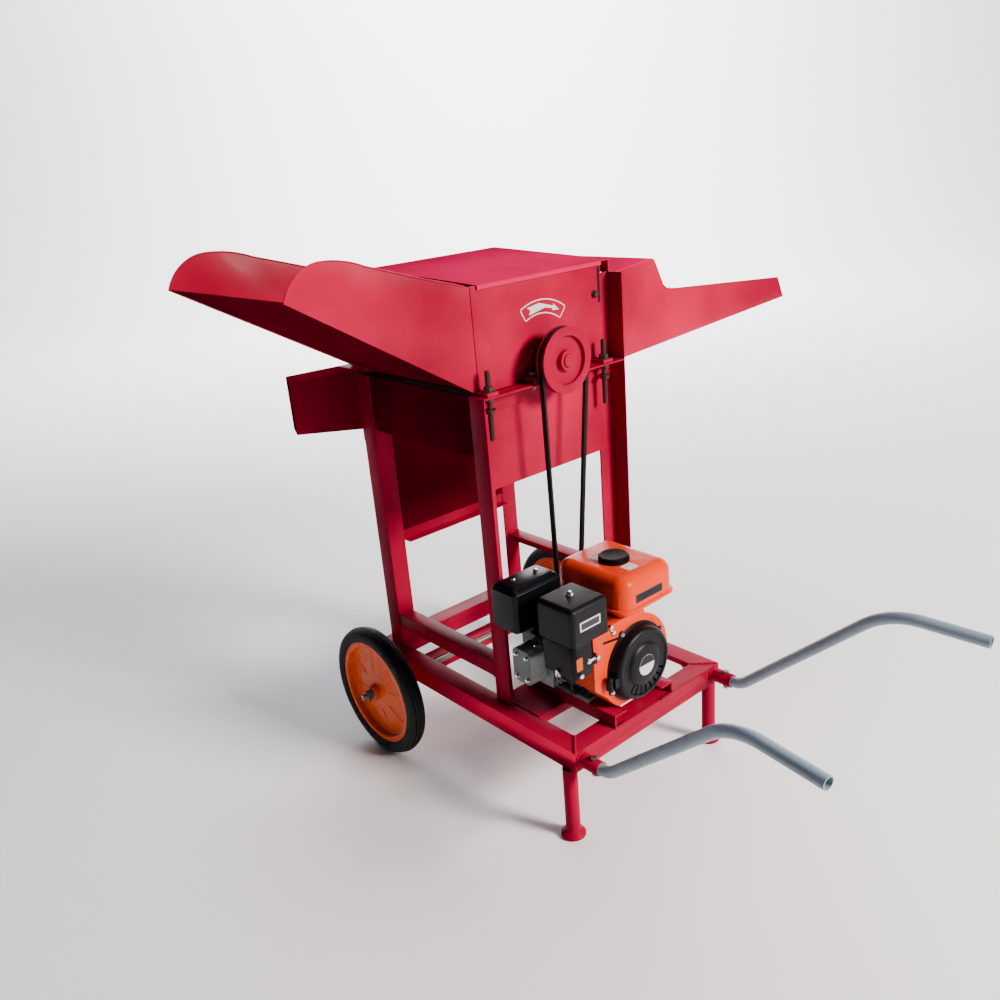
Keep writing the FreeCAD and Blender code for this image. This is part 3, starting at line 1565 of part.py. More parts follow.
def tank_body(inset):
    """The tank's rounded body, or the room inside it when it is inset by the wall."""
    top_z = tank_bottom_z + tank_height - inset
    body = box(tank_rear_x + inset, tank_front_x - inset, tank_left_y + inset, tank_right_y - inset,
               tank_bottom_z + inset, top_z)
    uprights = [e for e in body.Edges if abs(e.tangentAt(e.FirstParameter).z) > along_share]
    body = body.makeFillet(tank_corner_radius - inset, uprights)
    rims = [e for e in body.Edges if abs(e.CenterOfMass.z - top_z) < loose_clearance]
    return body.makeFillet(tank_crown_radius - inset, rims)


def tank_bowl(inset):
    """The shallow bowl below the seam, or the room inside it when it is inset by the wall."""
    margin = bowl_inset + inset
    low_z = tank_bottom_z - bowl_depth + inset
    body = box(tank_rear_x + margin, tank_front_x - margin, tank_left_y + margin, tank_right_y - margin,
               low_z, tank_bottom_z + tank_seam_height)
    uprights = [e for e in body.Edges if abs(e.tangentAt(e.FirstParameter).z) > along_share]
    body = body.makeFillet(tank_corner_radius - margin, uprights)
    rims = [e for e in body.Edges if abs(e.CenterOfMass.z - low_z) < loose_clearance]
    return body.makeFillet(bowl_corner_radius - inset, rims)


def fuel_tank():
    top_z = tank_bottom_z + tank_height
    body = tank_body(0)
    seam = box(tank_rear_x - tank_seam_proud, tank_front_x + tank_seam_proud,
               tank_left_y - tank_seam_proud, tank_right_y + tank_seam_proud,
               tank_bottom_z, tank_bottom_z + tank_seam_height)
    uprights = [e for e in seam.Edges if abs(e.tangentAt(e.FirstParameter).z) > along_share]
    seam = seam.makeFillet(tank_corner_radius, uprights)
    neck = rod(neck_radius, (cap_x, cap_y, top_z), (cap_x, cap_y, top_z + neck_height))
    mouth = rod(neck_bore_radius, (cap_x, cap_y, top_z - overrun), (cap_x, cap_y, top_z + overrun))
    room = join([tank_body(tank_wall), tank_bowl(tank_wall)])
    return less(join([body, seam, tank_bowl(0), neck]), [room, mouth])


def skirt_edge(disc, z):
    """The round edge of a disc at height z."""
    return [e for e in disc.Edges if abs(e.CenterOfMass.z - z) < loose_clearance][0]


def fuel_cap():
    z0 = tank_bottom_z + tank_height + cap_gap
    top = z0 + cap_height
    skirt = rod(cap_radius, (cap_x, cap_y, z0), (cap_x, cap_y, z0 + cap_skirt_height))
    skirt = skirt.makeChamfer(cap_chamfer, [skirt_edge(skirt, z0 + cap_skirt_height)])
    knob = rod(cap_knob_radius, (cap_x, cap_y, z0 + cap_skirt_height), (cap_x, cap_y, top))
    knob = knob.makeChamfer(cap_chamfer, [skirt_edge(knob, top)])
    body = join([skirt, knob])
    room = rod(neck_radius + cap_gap, (cap_x, cap_y, z0 - overrun), (cap_x, cap_y, z0 + neck_height))
    return body.cut(room)


cap_chamfer = 3.0

# Air cleaner, carburettor cover and levers
cleaner_rear_x = 612.0
cleaner_front_x = 724.0
cleaner_left_reach = 208.0
cleaner_right_reach = 94.0
cleaner_height = 88.0
cleaner_left_y = crank_y - cleaner_left_reach
cleaner_right_y = crank_y - cleaner_right_reach
cleaner_bottom_z = shroud_top_z
cleaner_top_z = cleaner_bottom_z + cleaner_height
cleaner_corner = 12.0
shield_rise = 42.0
shield_gap = 18.0
shield_bottom_z = crank_z + shield_rise
shield_right_y = shroud_left_y - shield_gap
shield_front_x = cleaner_front_x


def rounded_box(x0, x1, y0, y1, z0, z1, radius):
    body = box(x0, x1, y0, y1, z0, z1)
    return body.makeFillet(radius, body.Edges)


def air_cleaner():
    body = box(cleaner_rear_x, cleaner_front_x, cleaner_left_y, cleaner_right_y,
               cleaner_bottom_z, cleaner_top_z)
    bottom = cleaner_bottom_z
    edges = [e for e in body.Edges if e.CenterOfMass.z > bottom + loose_clearance]
    return body.makeFillet(cleaner_corner, edges)


def carburettor_shield():
    body = box(cleaner_rear_x + cleaner_corner, shield_front_x, cleaner_left_y, shield_right_y,
               shield_bottom_z, cleaner_bottom_z)
    uprights = [e for e in body.Edges if abs(e.tangentAt(e.FirstParameter).z) > along_share]
    outer = [e for e in uprights if e.CenterOfMass.y < shield_right_y - loose_clearance]
    return body.makeFillet(cleaner_corner, outer)


carburettor_rise = 72.0
carburettor_low_z = crank_z + carburettor_rise


def carburettor():
    return box(barrel_front_x + fin_depth, shroud_rear_x, shield_right_y,
               crank_y + engine_block_shift_y - engine_block_half_y, carburettor_low_z, cleaner_bottom_z)


# Muffler and its guard
guard_rear_x = 487.0
guard_front_x = 573.0
guard_left_reach = 230.0
guard_right_reach = 84.0
guard_rise = 112.0
guard_height = 104.0
guard_left_y = crank_y - guard_left_reach
guard_right_y = crank_y - guard_right_reach
guard_bottom_z = crank_z + guard_rise
guard_top_z = guard_bottom_z + guard_height
guard_wall = 2.0
guard_corner = 12.0
muffler_gap = guard_corner - guard_wall
muffler_rise = 6.0
muffler_bottom_z = guard_bottom_z + muffler_rise
muffler_wall = 1.5
exhaust_radius = 14.0
exhaust_x = 552.0


def muffler_guard():
    body = box(guard_rear_x, guard_front_x, guard_left_y, guard_right_y, guard_bottom_z, guard_top_z)
    bottom = guard_bottom_z
    edges = [e for e in body.Edges if e.CenterOfMass.z > bottom + loose_clearance]
    body = body.makeFillet(guard_corner, edges)
    room = box(guard_rear_x + guard_wall, guard_front_x - guard_wall, guard_left_y + guard_wall,
               guard_right_y - guard_wall, guard_bottom_z - overrun, guard_top_z - guard_wall)
    edges = [e for e in room.Edges if e.CenterOfMass.z > bottom]
    room = room.makeFillet(guard_corner - guard_wall, edges)
    return body.cut(room)


def muffler_body(inset):
    """The silencer's box, or the room inside it when it is inset by the wall."""
    gap = guard_wall + muffler_gap + inset
    body = box(guard_rear_x + gap, guard_front_x - gap, guard_left_y + gap, guard_right_y - gap,
               muffler_bottom_z + inset, guard_top_z - guard_wall - inset)
    edges = [e for e in body.Edges if abs(e.tangentAt(e.FirstParameter).z) > along_share]
    return body.makeFillet(guard_corner - inset, edges)


def muffler():
    body = muffler_body(0).cut(muffler_body(muffler_wall))
    y = barrel_end_y - head_length / 2.0
    pipe = rod(exhaust_radius, (exhaust_x, y, barrel_high_z + fin_depth), (exhaust_x, y, muffler_bottom_z))
    return join([body, pipe])


# Levers on the engine
# The throttle lever swings on the shroud's face, the choke lever on the carburettor's shield.
lever_wall = 3.0
lever_gap = 0.3
lever_eye_radius = 6.0
lever_width = 6.0
pin_radius = 3.0
pin_head_radius = 5.0
pin_head_wall = 2.0
throttle_reach = 71.0
throttle_rise = 100.0
throttle_y = crank_y - throttle_reach
throttle_z = crank_z + throttle_rise
throttle_length = 22.0
throttle_turn = 30.0
choke_reach = 166.0
choke_rise = 76.0
choke_y = crank_y - choke_reach
choke_z = crank_z + choke_rise
choke_length = 24.0
choke_turn = -90.0
knob_end_radius = 5.0
knob_end_length = 8.0


def lever_pin(face_x, y, z):
    """A shouldered pin that stands out of a face along X."""
    end_x = face_x + lever_gap + lever_wall + lever_gap
    stem = rod(pin_radius, (face_x, y, z), (end_x, y, z))
    head = rod(pin_head_radius, (end_x, y, z), (end_x + pin_head_wall, y, z))
    return join([stem, head])


def lever(face_x, y, z, length, turn):
    """A flat lever with a round grip; turn is counted from straight up towards -Y."""
    x0 = face_x + lever_gap
    x1 = x0 + lever_wall
    eye = rod(lever_eye_radius, (x0, y, z), (x1, y, z))
    arm = box(x0, x1, y - lever_width / 2.0, y + lever_width / 2.0, z, z + length)
    grip = rod(knob_end_radius, (x0, y, z + length), (x0 + knob_end_length, y, z + length))
    body = join([eye, arm, grip])
    body.rotate(Vector(x0, y, z), Vector(1, 0, 0), turn)
    return body.cut(rod(pin_radius + running_clearance, (x0 - overrun, y, z), (x1 + overrun, y, z)))


def throttle_pin():
    return lever_pin(shroud_front_x, throttle_y, throttle_z)


def choke_pin():
    return lever_pin(shield_front_x, choke_y, choke_z)


def throttle_lever():
    return lever(shroud_front_x, throttle_y, throttle_z, throttle_length, throttle_turn)


def choke_lever():
    return lever(shield_front_x, choke_y, choke_z, choke_length, choke_turn)


# Bright screws of the engine: the air cleaner's knob, the guard's and the shield's bolts
screw_flats = 10.0
screw_height = 6.0
cleaner_knob_radius = 9.0
cleaner_knob_height = 9.0
cleaner_screw_shares = (0.45, 0.5)
guard_screw_shares = (0.25, 0.72)
shield_screw_share_y = 0.30
shield_screw_share_x = 0.5
shield_screw_rise = 9.0


def engine_screws():
    x = cleaner_rear_x + (cleaner_front_x - cleaner_rear_x) * cleaner_screw_shares[0]
    y = cleaner_left_y + (cleaner_right_y - cleaner_left_y) * cleaner_screw_shares[1]
    washer = rod(cleaner_knob_radius, (x, y, cleaner_top_z), (x, y, cleaner_top_z + washer_wall))
    knob = hexagon(screw_flats, (x, y, cleaner_top_z), (x, y, cleaner_top_z + cleaner_knob_height))
    solids = [join([washer, knob]), throttle_pin(), choke_pin()]
    x = (guard_rear_x + guard_front_x) / 2.0
    for share in guard_screw_shares:
        y = guard_left_y + (guard_right_y - guard_left_y) * share
        solids.append(hexagon(screw_flats, (x, y, guard_top_z), (x, y, guard_top_z + screw_height)))
    z = shield_bottom_z + shield_screw_rise
    low_y = cleaner_left_y
    y = low_y + (shield_right_y - low_y) * shield_screw_share_y
    solids.append(hexagon(screw_flats, (shield_front_x, y, z), (shield_front_x + screw_height, y, z)))
    low_x = cleaner_rear_x + cleaner_corner
    x = low_x + (shield_front_x - low_x) * shield_screw_share_x
    solids.append(hexagon(screw_flats, (x, low_y, z), (x, low_y - screw_height, z)))
    return group(solids)


def build():
    keep("base_rails", base_rails())
    keep("tower_cross_plate", tower_cross_plate())
    keep("engine_rails", group([engine_rail(-1), engine_rail(1)]))
    keep("tower_posts", tower_posts())
    keep("cross_rails", cross_rails())
    keep("axle", axle())
    for name, side in (("near", -1), ("far", 1)):
        keep(name + "_tyre", tyre(side))
        keep(name + "_wheel", wheel_disc(side))
    keep("axle_nuts", axle_nuts())
    keep("legs", legs())
    keep("handle_sockets", handle_sockets())
    keep("handles", group([handle(-1), handle(1)]))
    keep("lower_front_panel", lower_front_panel())
    keep("lower_rear_panel", lower_rear_panel())
    keep("lower_side_panels", lower_side_panels())
    keep("bearing_ledges", bearing_ledges())
    keep("clamp_bolts", clamp_bolts())
    keep("housing_roof", housing_roof())
    keep("upper_front_panel", upper_panel(front_panel_x, 1))
    keep("upper_rear_panel", upper_panel(rear_panel_x, -1))
    keep("chute_walls", chute_walls())
    keep("chute_floor", chute_floor())
    keep("tray_walls", tray_walls())
    keep("tray_floor", tray_floor())
    keep("feed_hood", feed_hood())
    keep("concave", concave())
    keep("grain_pan", grain_pan())
    keep("fan_front_plate", fan_front_plate())
    keep("fan_casing", fan_casing())
    keep("grain_spout", grain_spout())
    keep("fan_rotor", fan_rotor())
    keep("drum_shaft", drum_shaft())
    keep("drum", drum())
    keep("drum_teeth", drum_teeth())
    keep("drum_pulley", drum_pulley())
    keep("engine_pulley", engine_pulley())
    keep("drive_belt", drive_belt())
    keep("bearing_blocks", bearing_blocks())
    keep("frame_bolts", frame_bolts())
    keep("engine_block", engine_block())
    keep("crankshaft", crankshaft())
    keep("flywheel", flywheel())
    keep("cylinder_head", cylinder_head())
    keep("spark_plug", spark_plug())
    keep("plug_lead", plug_lead())
    keep("fan_shroud", fan_shroud())
    keep("recoil_cover", recoil_cover())
    keep("starter_grip", starter_grip())
    keep("fuel_tank", fuel_tank())
    keep("fuel_cap", fuel_cap())
    keep("air_cleaner", air_cleaner())
    keep("carburettor_shield", carburettor_shield())
    keep("throttle_lever", throttle_lever())
    keep("choke_lever", choke_lever())
    keep("engine_screws", engine_screws())
    keep("carburettor", carburettor())
    keep("muffler_guard", muffler_guard())
    keep("muffler", muffler())


build()

whole = Part.makeCompound(list(nodes.values()))
bounds = whole.optimalBoundingBox(False, False)
shift = Vector(-(bounds.XMin + bounds.XMax) / 2.0, -(bounds.YMin + bounds.YMax) / 2.0, -bounds.ZMin)

for name, shape in nodes.items():
    moved = shape.copy()
    moved.translate(shift)
    moved.exportStep("parts/" + name + ".step")
    print(name, len(moved.Solids), round(moved.Volume), moved.isValid())
print("box", bounds, "shift", shift)
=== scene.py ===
import json
import math
from types import SimpleNamespace

import bmesh
import bpy
from mathutils import Matrix, Vector

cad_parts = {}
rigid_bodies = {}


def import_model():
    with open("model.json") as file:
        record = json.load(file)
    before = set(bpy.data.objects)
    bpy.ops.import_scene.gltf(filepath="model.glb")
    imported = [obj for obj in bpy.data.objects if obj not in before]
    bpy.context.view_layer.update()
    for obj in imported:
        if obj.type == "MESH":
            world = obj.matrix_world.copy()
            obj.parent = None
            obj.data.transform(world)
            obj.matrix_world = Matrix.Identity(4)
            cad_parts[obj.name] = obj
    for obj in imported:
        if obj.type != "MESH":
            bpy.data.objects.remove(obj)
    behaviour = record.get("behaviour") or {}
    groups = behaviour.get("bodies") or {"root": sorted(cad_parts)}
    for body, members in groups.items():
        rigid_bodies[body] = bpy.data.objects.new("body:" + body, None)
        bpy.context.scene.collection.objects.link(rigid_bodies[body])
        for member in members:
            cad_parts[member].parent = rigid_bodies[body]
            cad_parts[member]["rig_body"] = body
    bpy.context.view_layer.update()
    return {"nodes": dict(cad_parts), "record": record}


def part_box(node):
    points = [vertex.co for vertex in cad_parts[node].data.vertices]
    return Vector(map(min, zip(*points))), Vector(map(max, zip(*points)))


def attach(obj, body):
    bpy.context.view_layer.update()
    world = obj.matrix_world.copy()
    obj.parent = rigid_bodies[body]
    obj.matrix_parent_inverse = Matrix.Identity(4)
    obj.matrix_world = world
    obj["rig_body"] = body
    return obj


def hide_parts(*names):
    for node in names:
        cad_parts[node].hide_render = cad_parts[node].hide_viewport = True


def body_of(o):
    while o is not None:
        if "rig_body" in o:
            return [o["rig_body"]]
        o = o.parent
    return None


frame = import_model()

# Standpoint and studio
# The machine stands on pale paper. The camera looks down at it from a standing person's height on
# the side of the handles. One soft light stands to the right, one hangs overhead and one lights
# the paper behind.
axle_low, axle_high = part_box("axle")
axle_from_posts = 0.0925
drawing_x = (axle_low[0] + axle_high[0]) / 2 - axle_from_posts
drawing_y = (axle_low[1] + axle_high[1]) / 2


def at(x, y, z):
    """A place given in millimetres from the rear posts, the drum's axis and the ground."""
    return Vector((x / 1000 + drawing_x, y / 1000 + drawing_y, z / 1000))


# The camera was solved from the straight edges of the frame in the photo.
photo_pixels = 1000
focal_pixels = 942.6
optical_row = 515.6
camera_right = Vector((0.65988, 0.74701, -0.08084))
camera_up = Vector((-0.22293, 0.29740, 0.92836))
camera_back = Vector((0.71754, -0.59459, 0.36278))
camera_place = at(1976.5, -1443.0, 1473.4)

lens = bpy.data.cameras.new("studio_camera")
lens.sensor_width = 36.0
lens.lens = lens.sensor_width * focal_pixels / photo_pixels
lens.shift_y = (optical_row - photo_pixels / 2) / photo_pixels
camera = bpy.data.objects.new("studio_camera", lens)
bpy.context.scene.collection.objects.link(camera)
camera.matrix_world = Matrix((
    (camera_right.x, camera_up.x, camera_back.x, camera_place.x),
    (camera_right.y, camera_up.y, camera_back.y, camera_place.y),
    (camera_right.z, camera_up.z, camera_back.z, camera_place.z),
    (0, 0, 0, 1)))
bpy.context.scene.camera = camera


def linear(hex_code):
    """An sRGB hex colour as linear RGBA."""
    shares = [int(hex_code[i:i + 2], 16) / 255 for i in (1, 3, 5)]
    return [s / 12.92 if s <= 0.04045 else ((s + 0.055) / 1.055) ** 2.4 for s in shares] + [1.0]


def add(holder, kind, inputs=None, **settings):
    """Adds a node; an input is given as a value or as the socket that feeds it."""
    node = holder.node_tree.nodes.new(kind)
    for name, value in settings.items():
        setattr(node, name, value)
    for name, value in (inputs or {}).items():
        socket = node.inputs[name]
        if isinstance(value, bpy.types.NodeSocket):
            holder.node_tree.links.new(value, socket)
        else:
            socket.default_value = value
    return node


def fresh_material(name):
    """A material without nodes."""
    material = bpy.data.materials.new(name)
    material.use_nodes = True
    material.node_tree.nodes.clear()
    return material


def finish_material(material, shader):
    """The material, with a shader on its output."""
    add(material, "ShaderNodeOutputMaterial", {"Surface": shader.outputs[0]})
    return material


def soft_light(name, place, aim, size, power, tint):
    """A round soft lamp that looks from its place to its aim."""
    lamp = bpy.data.lights.new(name, "AREA")
    lamp.shape = "DISK"
    lamp.size = size
    lamp.energy = power
    lamp.color = linear(tint)[:3]
    holder = bpy.data.objects.new(name, lamp)
    holder.location = place
    holder.rotation_euler = (Vector(aim) - Vector(place)).to_track_quat("-Z", "Y").to_euler()
    bpy.context.scene.collection.objects.link(holder)


soft_light("key_light", (5.2, 1.6, 3.3), (0.0, 0.0, 0.75), size=1.8, power=1020.0, tint="#fff3ea")
soft_light("top_light", (-0.8, 0.8, 4.6), (0.0, 0.0, 0.8), size=3.6, power=70.0, tint="#e8ebff")
soft_light("backdrop_light", (-4.2, 3.5, 6.8), (-8.6, 7.1, 2.6), size=4.0, power=2600.0, tint="#ffffff")

room_tint = "#f4f6fa"
room_strength = 0.03
world = bpy.data.worlds.new("studio")
world.use_nodes = True
room_light = world.node_tree.nodes["Background"].inputs
room_light["Color"].default_value = linear(room_tint)
room_light["Strength"].default_value = room_strength
bpy.context.scene.world = world

# The floor is one sheet of matt paper that curves up far behind the machine.
paper_width = 30.0
paper_front = -9.0
paper_bend = 7.0
paper_radius = 3.0
paper_top = 9.0
bend_steps = 16
paper_line = [(paper_front, 0.0), (paper_bend, 0.0)]
for step in range(1, bend_steps + 1):
    turn = math.radians(90.0 * step / bend_steps)
    paper_line.append((paper_bend + paper_radius * math.sin(turn), paper_radius * (1 - math.cos(turn))))
paper_line.append((paper_bend + paper_radius, paper_top))
away = Vector((-camera_back.x, -camera_back.y, 0)).normalized()
across = Vector((-away.y, away.x, 0))
paper_points = []
for distance, height in paper_line:
    for side in (-0.5, 0.5):
        paper_points.append(away * distance + across * (side * paper_width) + Vector((0, 0, height)))
paper_faces = [(2 * i, 2 * i + 2, 2 * i + 3, 2 * i + 1) for i in range(len(paper_line) - 1)]
paper_mesh = bpy.data.meshes.new("studio_paper")
paper_mesh.from_pydata(paper_points, [], paper_faces)
paper_mesh.polygons.foreach_set("use_smooth", [True] * len(paper_mesh.polygons))
paper = bpy.data.objects.new("studio_paper", paper_mesh)
bpy.context.scene.collection.objects.link(paper)
studio_paper = fresh_material("matt_studio_paper")
finish_material(studio_paper, add(studio_paper, "ShaderNodeBsdfPrincipled",
                                  {"Base Color": linear("#f6f6f8"), "Roughness": 0.95}))
paper_mesh.materials.append(studio_paper)

# Tower, base and welded angle iron
# Hot rolled angle iron, cut, welded and sprayed with one coat of red enamel. The enamel is thin
# at the corners, where it has chipped and shows dark primer and steel.


def enamel(name, hex_code, deep_hex, chip_hex, roughness, dent_mm, chip_level, orange_peel_mm=0.9,
           shine=0.13):
    """Sprayed enamel: clouds of 300 mm, dents of 140 mm, smears of 70 mm, chips of 4 mm on its edges."""
    # Inputs 6 and 7 of a Mix node are its two colours, and its output 2 is the mixed one.
    material = fresh_material(name)
    place = add(material, "ShaderNodeTexCoord").outputs["Object"]
    cloud = add(material, "ShaderNodeTexNoise",
                {"Vector": place, "Scale": 3.4, "Detail": 3.0, "Roughness": 0.45})
    thin = add(material, "ShaderNodeMapRange",
               {"Value": cloud.outputs["Fac"], "From Min": 0.24, "From Max": 0.72})
    tone = add(material, "ShaderNodeMix",
               {"Factor": thin.outputs[0], 6: linear(deep_hex), 7: linear(hex_code)}, data_type="RGBA")
    speck = add(material, "ShaderNodeTexNoise",
                {"Vector": place, "Scale": 260.0, "Detail": 5.0, "Roughness": 0.7})
    edge = add(material, "ShaderNodeNewGeometry").outputs["Pointiness"]
    rim = add(material, "ShaderNodeMapRange", {"Value": edge, "From Min": 0.515, "From Max": 0.56})
    grit = add(material, "ShaderNodeMapRange",
               {"Value": speck.outputs["Fac"], "From Min": chip_level, "From Max": chip_level + 0.05})
    chip = add(material, "ShaderNodeMath", {0: rim.outputs[0], 1: grit.outputs[0]}, operation="MULTIPLY")
    bare = add(material, "ShaderNodeMix",
               {"Factor": chip.outputs[0], 6: tone.outputs[2], 7: linear(chip_hex)}, data_type="RGBA")
    smear = add(material, "ShaderNodeTexNoise",
                {"Vector": place, "Scale": 14.0, "Detail": 6.0, "Roughness": 0.65})
    gloss = add(material, "ShaderNodeMapRange",
                {"Value": smear.outputs["Fac"], "From Min": 0.3, "From Max": 0.75,
                 "To Min": roughness, "To Max": roughness + 0.16})
    dents = add(material, "ShaderNodeTexNoise",
                {"Vector": place, "Scale": 7.0, "Detail": 2.0, "Roughness": 0.4})
    peel = add(material, "ShaderNodeTexNoise",
               {"Vector": place, "Scale": 1000.0 / orange_peel_mm, "Detail": 1.0})
    waves = add(material, "ShaderNodeBump",
                {"Height": dents.outputs["Fac"], "Strength": 0.6, "Distance": dent_mm / 1000})
    skin = add(material, "ShaderNodeBump",
               {"Height": peel.outputs["Fac"], "Strength": 0.12, "Distance": 0.0002,
                "Normal": waves.outputs[0]})
    return finish_material(material, add(material, "ShaderNodeBsdfPrincipled", {
        "Base Color": bare.outputs[2], "Roughness": gloss.outputs[0], "Normal": skin.outputs[0],
        "Specular IOR Level": shine, "Coat Weight": shine * 0.3, "Coat Roughness": 0.12}))


red_enamel = enamel("red_enamel_on_steel", "#9c0230", "#700122", "#240b0e", roughness=0.26,
                    dent_mm=3.0, chip_level=0.72, shine=0.03)


def body_of_node(name):
    """The body that carries a CAD node."""
    found = body_of(frame["nodes"][name])
    return found if isinstance(found, str) else list(found)[0]


def show(piece, body, slot, *nodes):
    """Hands a finished piece to its body and hides the CAD nodes that it stands for; the slot is not used.
    """
    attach(piece, body)
    if nodes:
        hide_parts(*nodes)
    return piece


def place_mesh(name, mesh, material):
    """A mesh as an object in the scene with one smooth-shaded finish."""
    piece = bpy.data.objects.new(name, mesh)
    bpy.context.scene.collection.objects.link(piece)
    mesh.materials.clear()
    mesh.materials.append(material)
    mesh.polygons.foreach_set("use_smooth", [True] * len(mesh.polygons))
    return piece


sharp_degrees = 32.0
merge_distance = 0.00001


def soften(piece, width_mm, steps=2):
    """A small rounding on every sharp edge, so that each one catches the light."""
    round_over = piece.modifiers.new("rolled_edges", "BEVEL")
    round_over.width = width_mm / 1000
    round_over.segments = steps
    round_over.limit_method = "ANGLE"
    round_over.angle_limit = math.radians(sharp_degrees)
    round_over.harden_normals = True
    return piece


def from_cad(node, name, width_mm, material, steps=2, cutters=None, flat_degrees=0.8):
    """A copy of a CAD node with its triangles merged where they are flat and its edges rounded."""
    mesh = frame["nodes"][node].data.copy()
    work = bmesh.new()
    work.from_mesh(mesh)
    bmesh.ops.remove_doubles(work, verts=work.verts, dist=merge_distance)
    bmesh.ops.dissolve_limit(work, angle_limit=math.radians(flat_degrees), verts=work.verts,
                             edges=work.edges)
    work.to_mesh(mesh)
    work.free()
    if cutters:
        mesh = carved(mesh, cutters)
    piece = soften(place_mesh(name, mesh, material), width_mm, steps)
    return show(piece, body_of_node(node), slot_of[node], node)


slot_of = {part["node"]: part["material_slot"] for part in frame["record"]["subparts"]}

angle_iron_rounding = 1.6
for node in ("base_rails", "tower_cross_plate", "engine_rails", "tower_posts", "cross_rails",
             "handle_sockets"):
    from_cad(node, node + "_rolled", angle_iron_rounding, red_enamel)
from_cad("bearing_ledges", "bearing_ledges_rolled", 1.0, red_enamel)
from_cad("legs", "legs_spun", 1.0, red_enamel, steps=3)


# Weld beads
# Short runs of arc weld hold the frame together: at the feet of the posts, the ends of the braces
# and round the handle sockets. Each is a row of overlapping drops under the same enamel.
def new_tree(name, inputs):
    """A geometry tree with named inputs and one geometry output, held so that nodes can be added."""
    tree = bpy.data.node_groups.new(name, "GeometryNodeTree")
    tree.interface.new_socket("Geometry", in_out="OUTPUT", socket_type="NodeSocketGeometry")
    for label, kind in inputs:
        tree.interface.new_socket(label, in_out="INPUT", socket_type=kind)
    return SimpleNamespace(node_tree=tree)


def lay_copies(wires, given, points, stance):
    """Ends a tree with a copy of the part on every point, as plain geometry in its finish."""
    part = add(wires, "GeometryNodeObjectInfo", {"Object": given["Part"]})
    copies = add(wires, "GeometryNodeInstanceOnPoints",
                 {"Points": points.outputs[0], "Instance": part.outputs["Geometry"], **stance})
    whole = add(wires, "GeometryNodeRealizeInstances", {0: copies.outputs[0]})
    coated = add(wires, "GeometryNodeSetMaterial",
                 {"Geometry": whole.outputs[0], "Material": given["Finish"]})
    add(wires, "NodeGroupOutput", {0: coated.outputs[0]})


def row_tree():
    """Copies of one part in a straight row: count, start, step and a random spread of their size."""
    wires = new_tree("row_of_parts", (("Part", "NodeSocketObject"), ("Count", "NodeSocketInt"),
                                      ("Start", "NodeSocketVector"), ("Step", "NodeSocketVector"),
                                      ("Spread", "NodeSocketFloat"), ("Finish", "NodeSocketMaterial")))
    given = add(wires, "NodeGroupInput").outputs
    line = add(wires, "GeometryNodeMeshLine",
               {"Count": given["Count"], "Start Location": given["Start"], "Offset": given["Step"]})
    least = add(wires, "ShaderNodeMath", {0: 1.0, 1: given["Spread"]}, operation="SUBTRACT")
    most = add(wires, "ShaderNodeMath", {0: 1.0, 1: given["Spread"]}, operation="ADD")
    size = add(wires, "FunctionNodeRandomValue", {2: least.outputs[0], 3: most.outputs[0], "Seed": 7})
    lay_copies(wires, given, line, {"Scale": size.outputs[1]})
    return wires.node_tree


def ring_tree():
    """Copies of one part round a circle about Z: count, radius, first angle and sweep."""
    wires = new_tree("ring_of_parts", (("Part", "NodeSocketObject"), ("Count", "NodeSocketInt"),
                                       ("Radius", "NodeSocketFloat"), ("First", "NodeSocketFloat"),
                                       ("Sweep", "NodeSocketFloat"), ("Finish", "NodeSocketMaterial")))
    given = add(wires, "NodeGroupInput").outputs
    index = add(wires, "GeometryNodeInputIndex").outputs[0]
    share = add(wires, "ShaderNodeMath", {0: index, 1: given["Count"]}, operation="DIVIDE")
    swept = add(wires, "ShaderNodeMath", {0: share.outputs[0], 1: given["Sweep"]}, operation="MULTIPLY")
    turn = add(wires, "ShaderNodeMath", {0: swept.outputs[0], 1: given["First"]}, operation="ADD")
    east = add(wires, "ShaderNodeMath", {0: turn.outputs[0]}, operation="COSINE")
    north = add(wires, "ShaderNodeMath", {0: turn.outputs[0]}, operation="SINE")
    way = add(wires, "ShaderNodeCombineXYZ", {0: east.outputs[0], 1: north.outputs[0]})
    place = add(wires, "ShaderNodeVectorMath", {0: way.outputs[0], "Scale": given["Radius"]},
                operation="SCALE")
    spin = add(wires, "ShaderNodeCombineXYZ", {2: turn.outputs[0]})
    points = add(wires, "GeometryNodePoints", {"Count": given["Count"], "Position": place.outputs[0]})
    lay_copies(wires, given, points, {"Rotation": spin.outputs[0]})
    return wires.node_tree


row_of_parts = row_tree()
ring_of_parts = ring_tree()


def baked(holder):
    """The evaluated mesh of an object that isn't needed any more."""
    bpy.context.scene.collection.objects.link(holder)
    bpy.context.view_layer.update()
    depsgraph = bpy.context.evaluated_depsgraph_get()
    mesh = bpy.data.meshes.new_from_object(holder.evaluated_get(depsgraph))
    bpy.data.objects.remove(holder)
    return mesh


def repeated(name, tree, values, stand=None):
    """Runs a geometry tree once and keeps its result as a plain mesh."""
    holder = bpy.data.objects.new(name + "_layout", bpy.data.meshes.new(name + "_layout"))
    layout = holder.modifiers.new("layout", "NODES")
    layout.node_group = tree
    for item in tree.interface.items_tree:
        if item.in_out == "INPUT" and item.name in values:
            layout[item.identifier] = values[item.name]
    mesh = baked(holder)
    if stand is not None:
        mesh.transform(stand)
    return mesh


def pattern_part(name, mesh):
    """A part that is only copied and never shown itself."""
    part = bpy.data.objects.new(name, mesh)
    bpy.context.scene.collection.objects.link(part)
    part.hide_render = True
    part.hide_viewport = True
    return part


def joined(meshes):
    """Several meshes as one mesh."""
    work = bmesh.new()
    for mesh in meshes:
        work.from_mesh(mesh)
    whole = bpy.data.meshes.new("joined")
    work.to_mesh(whole)
    work.free()
    return whole


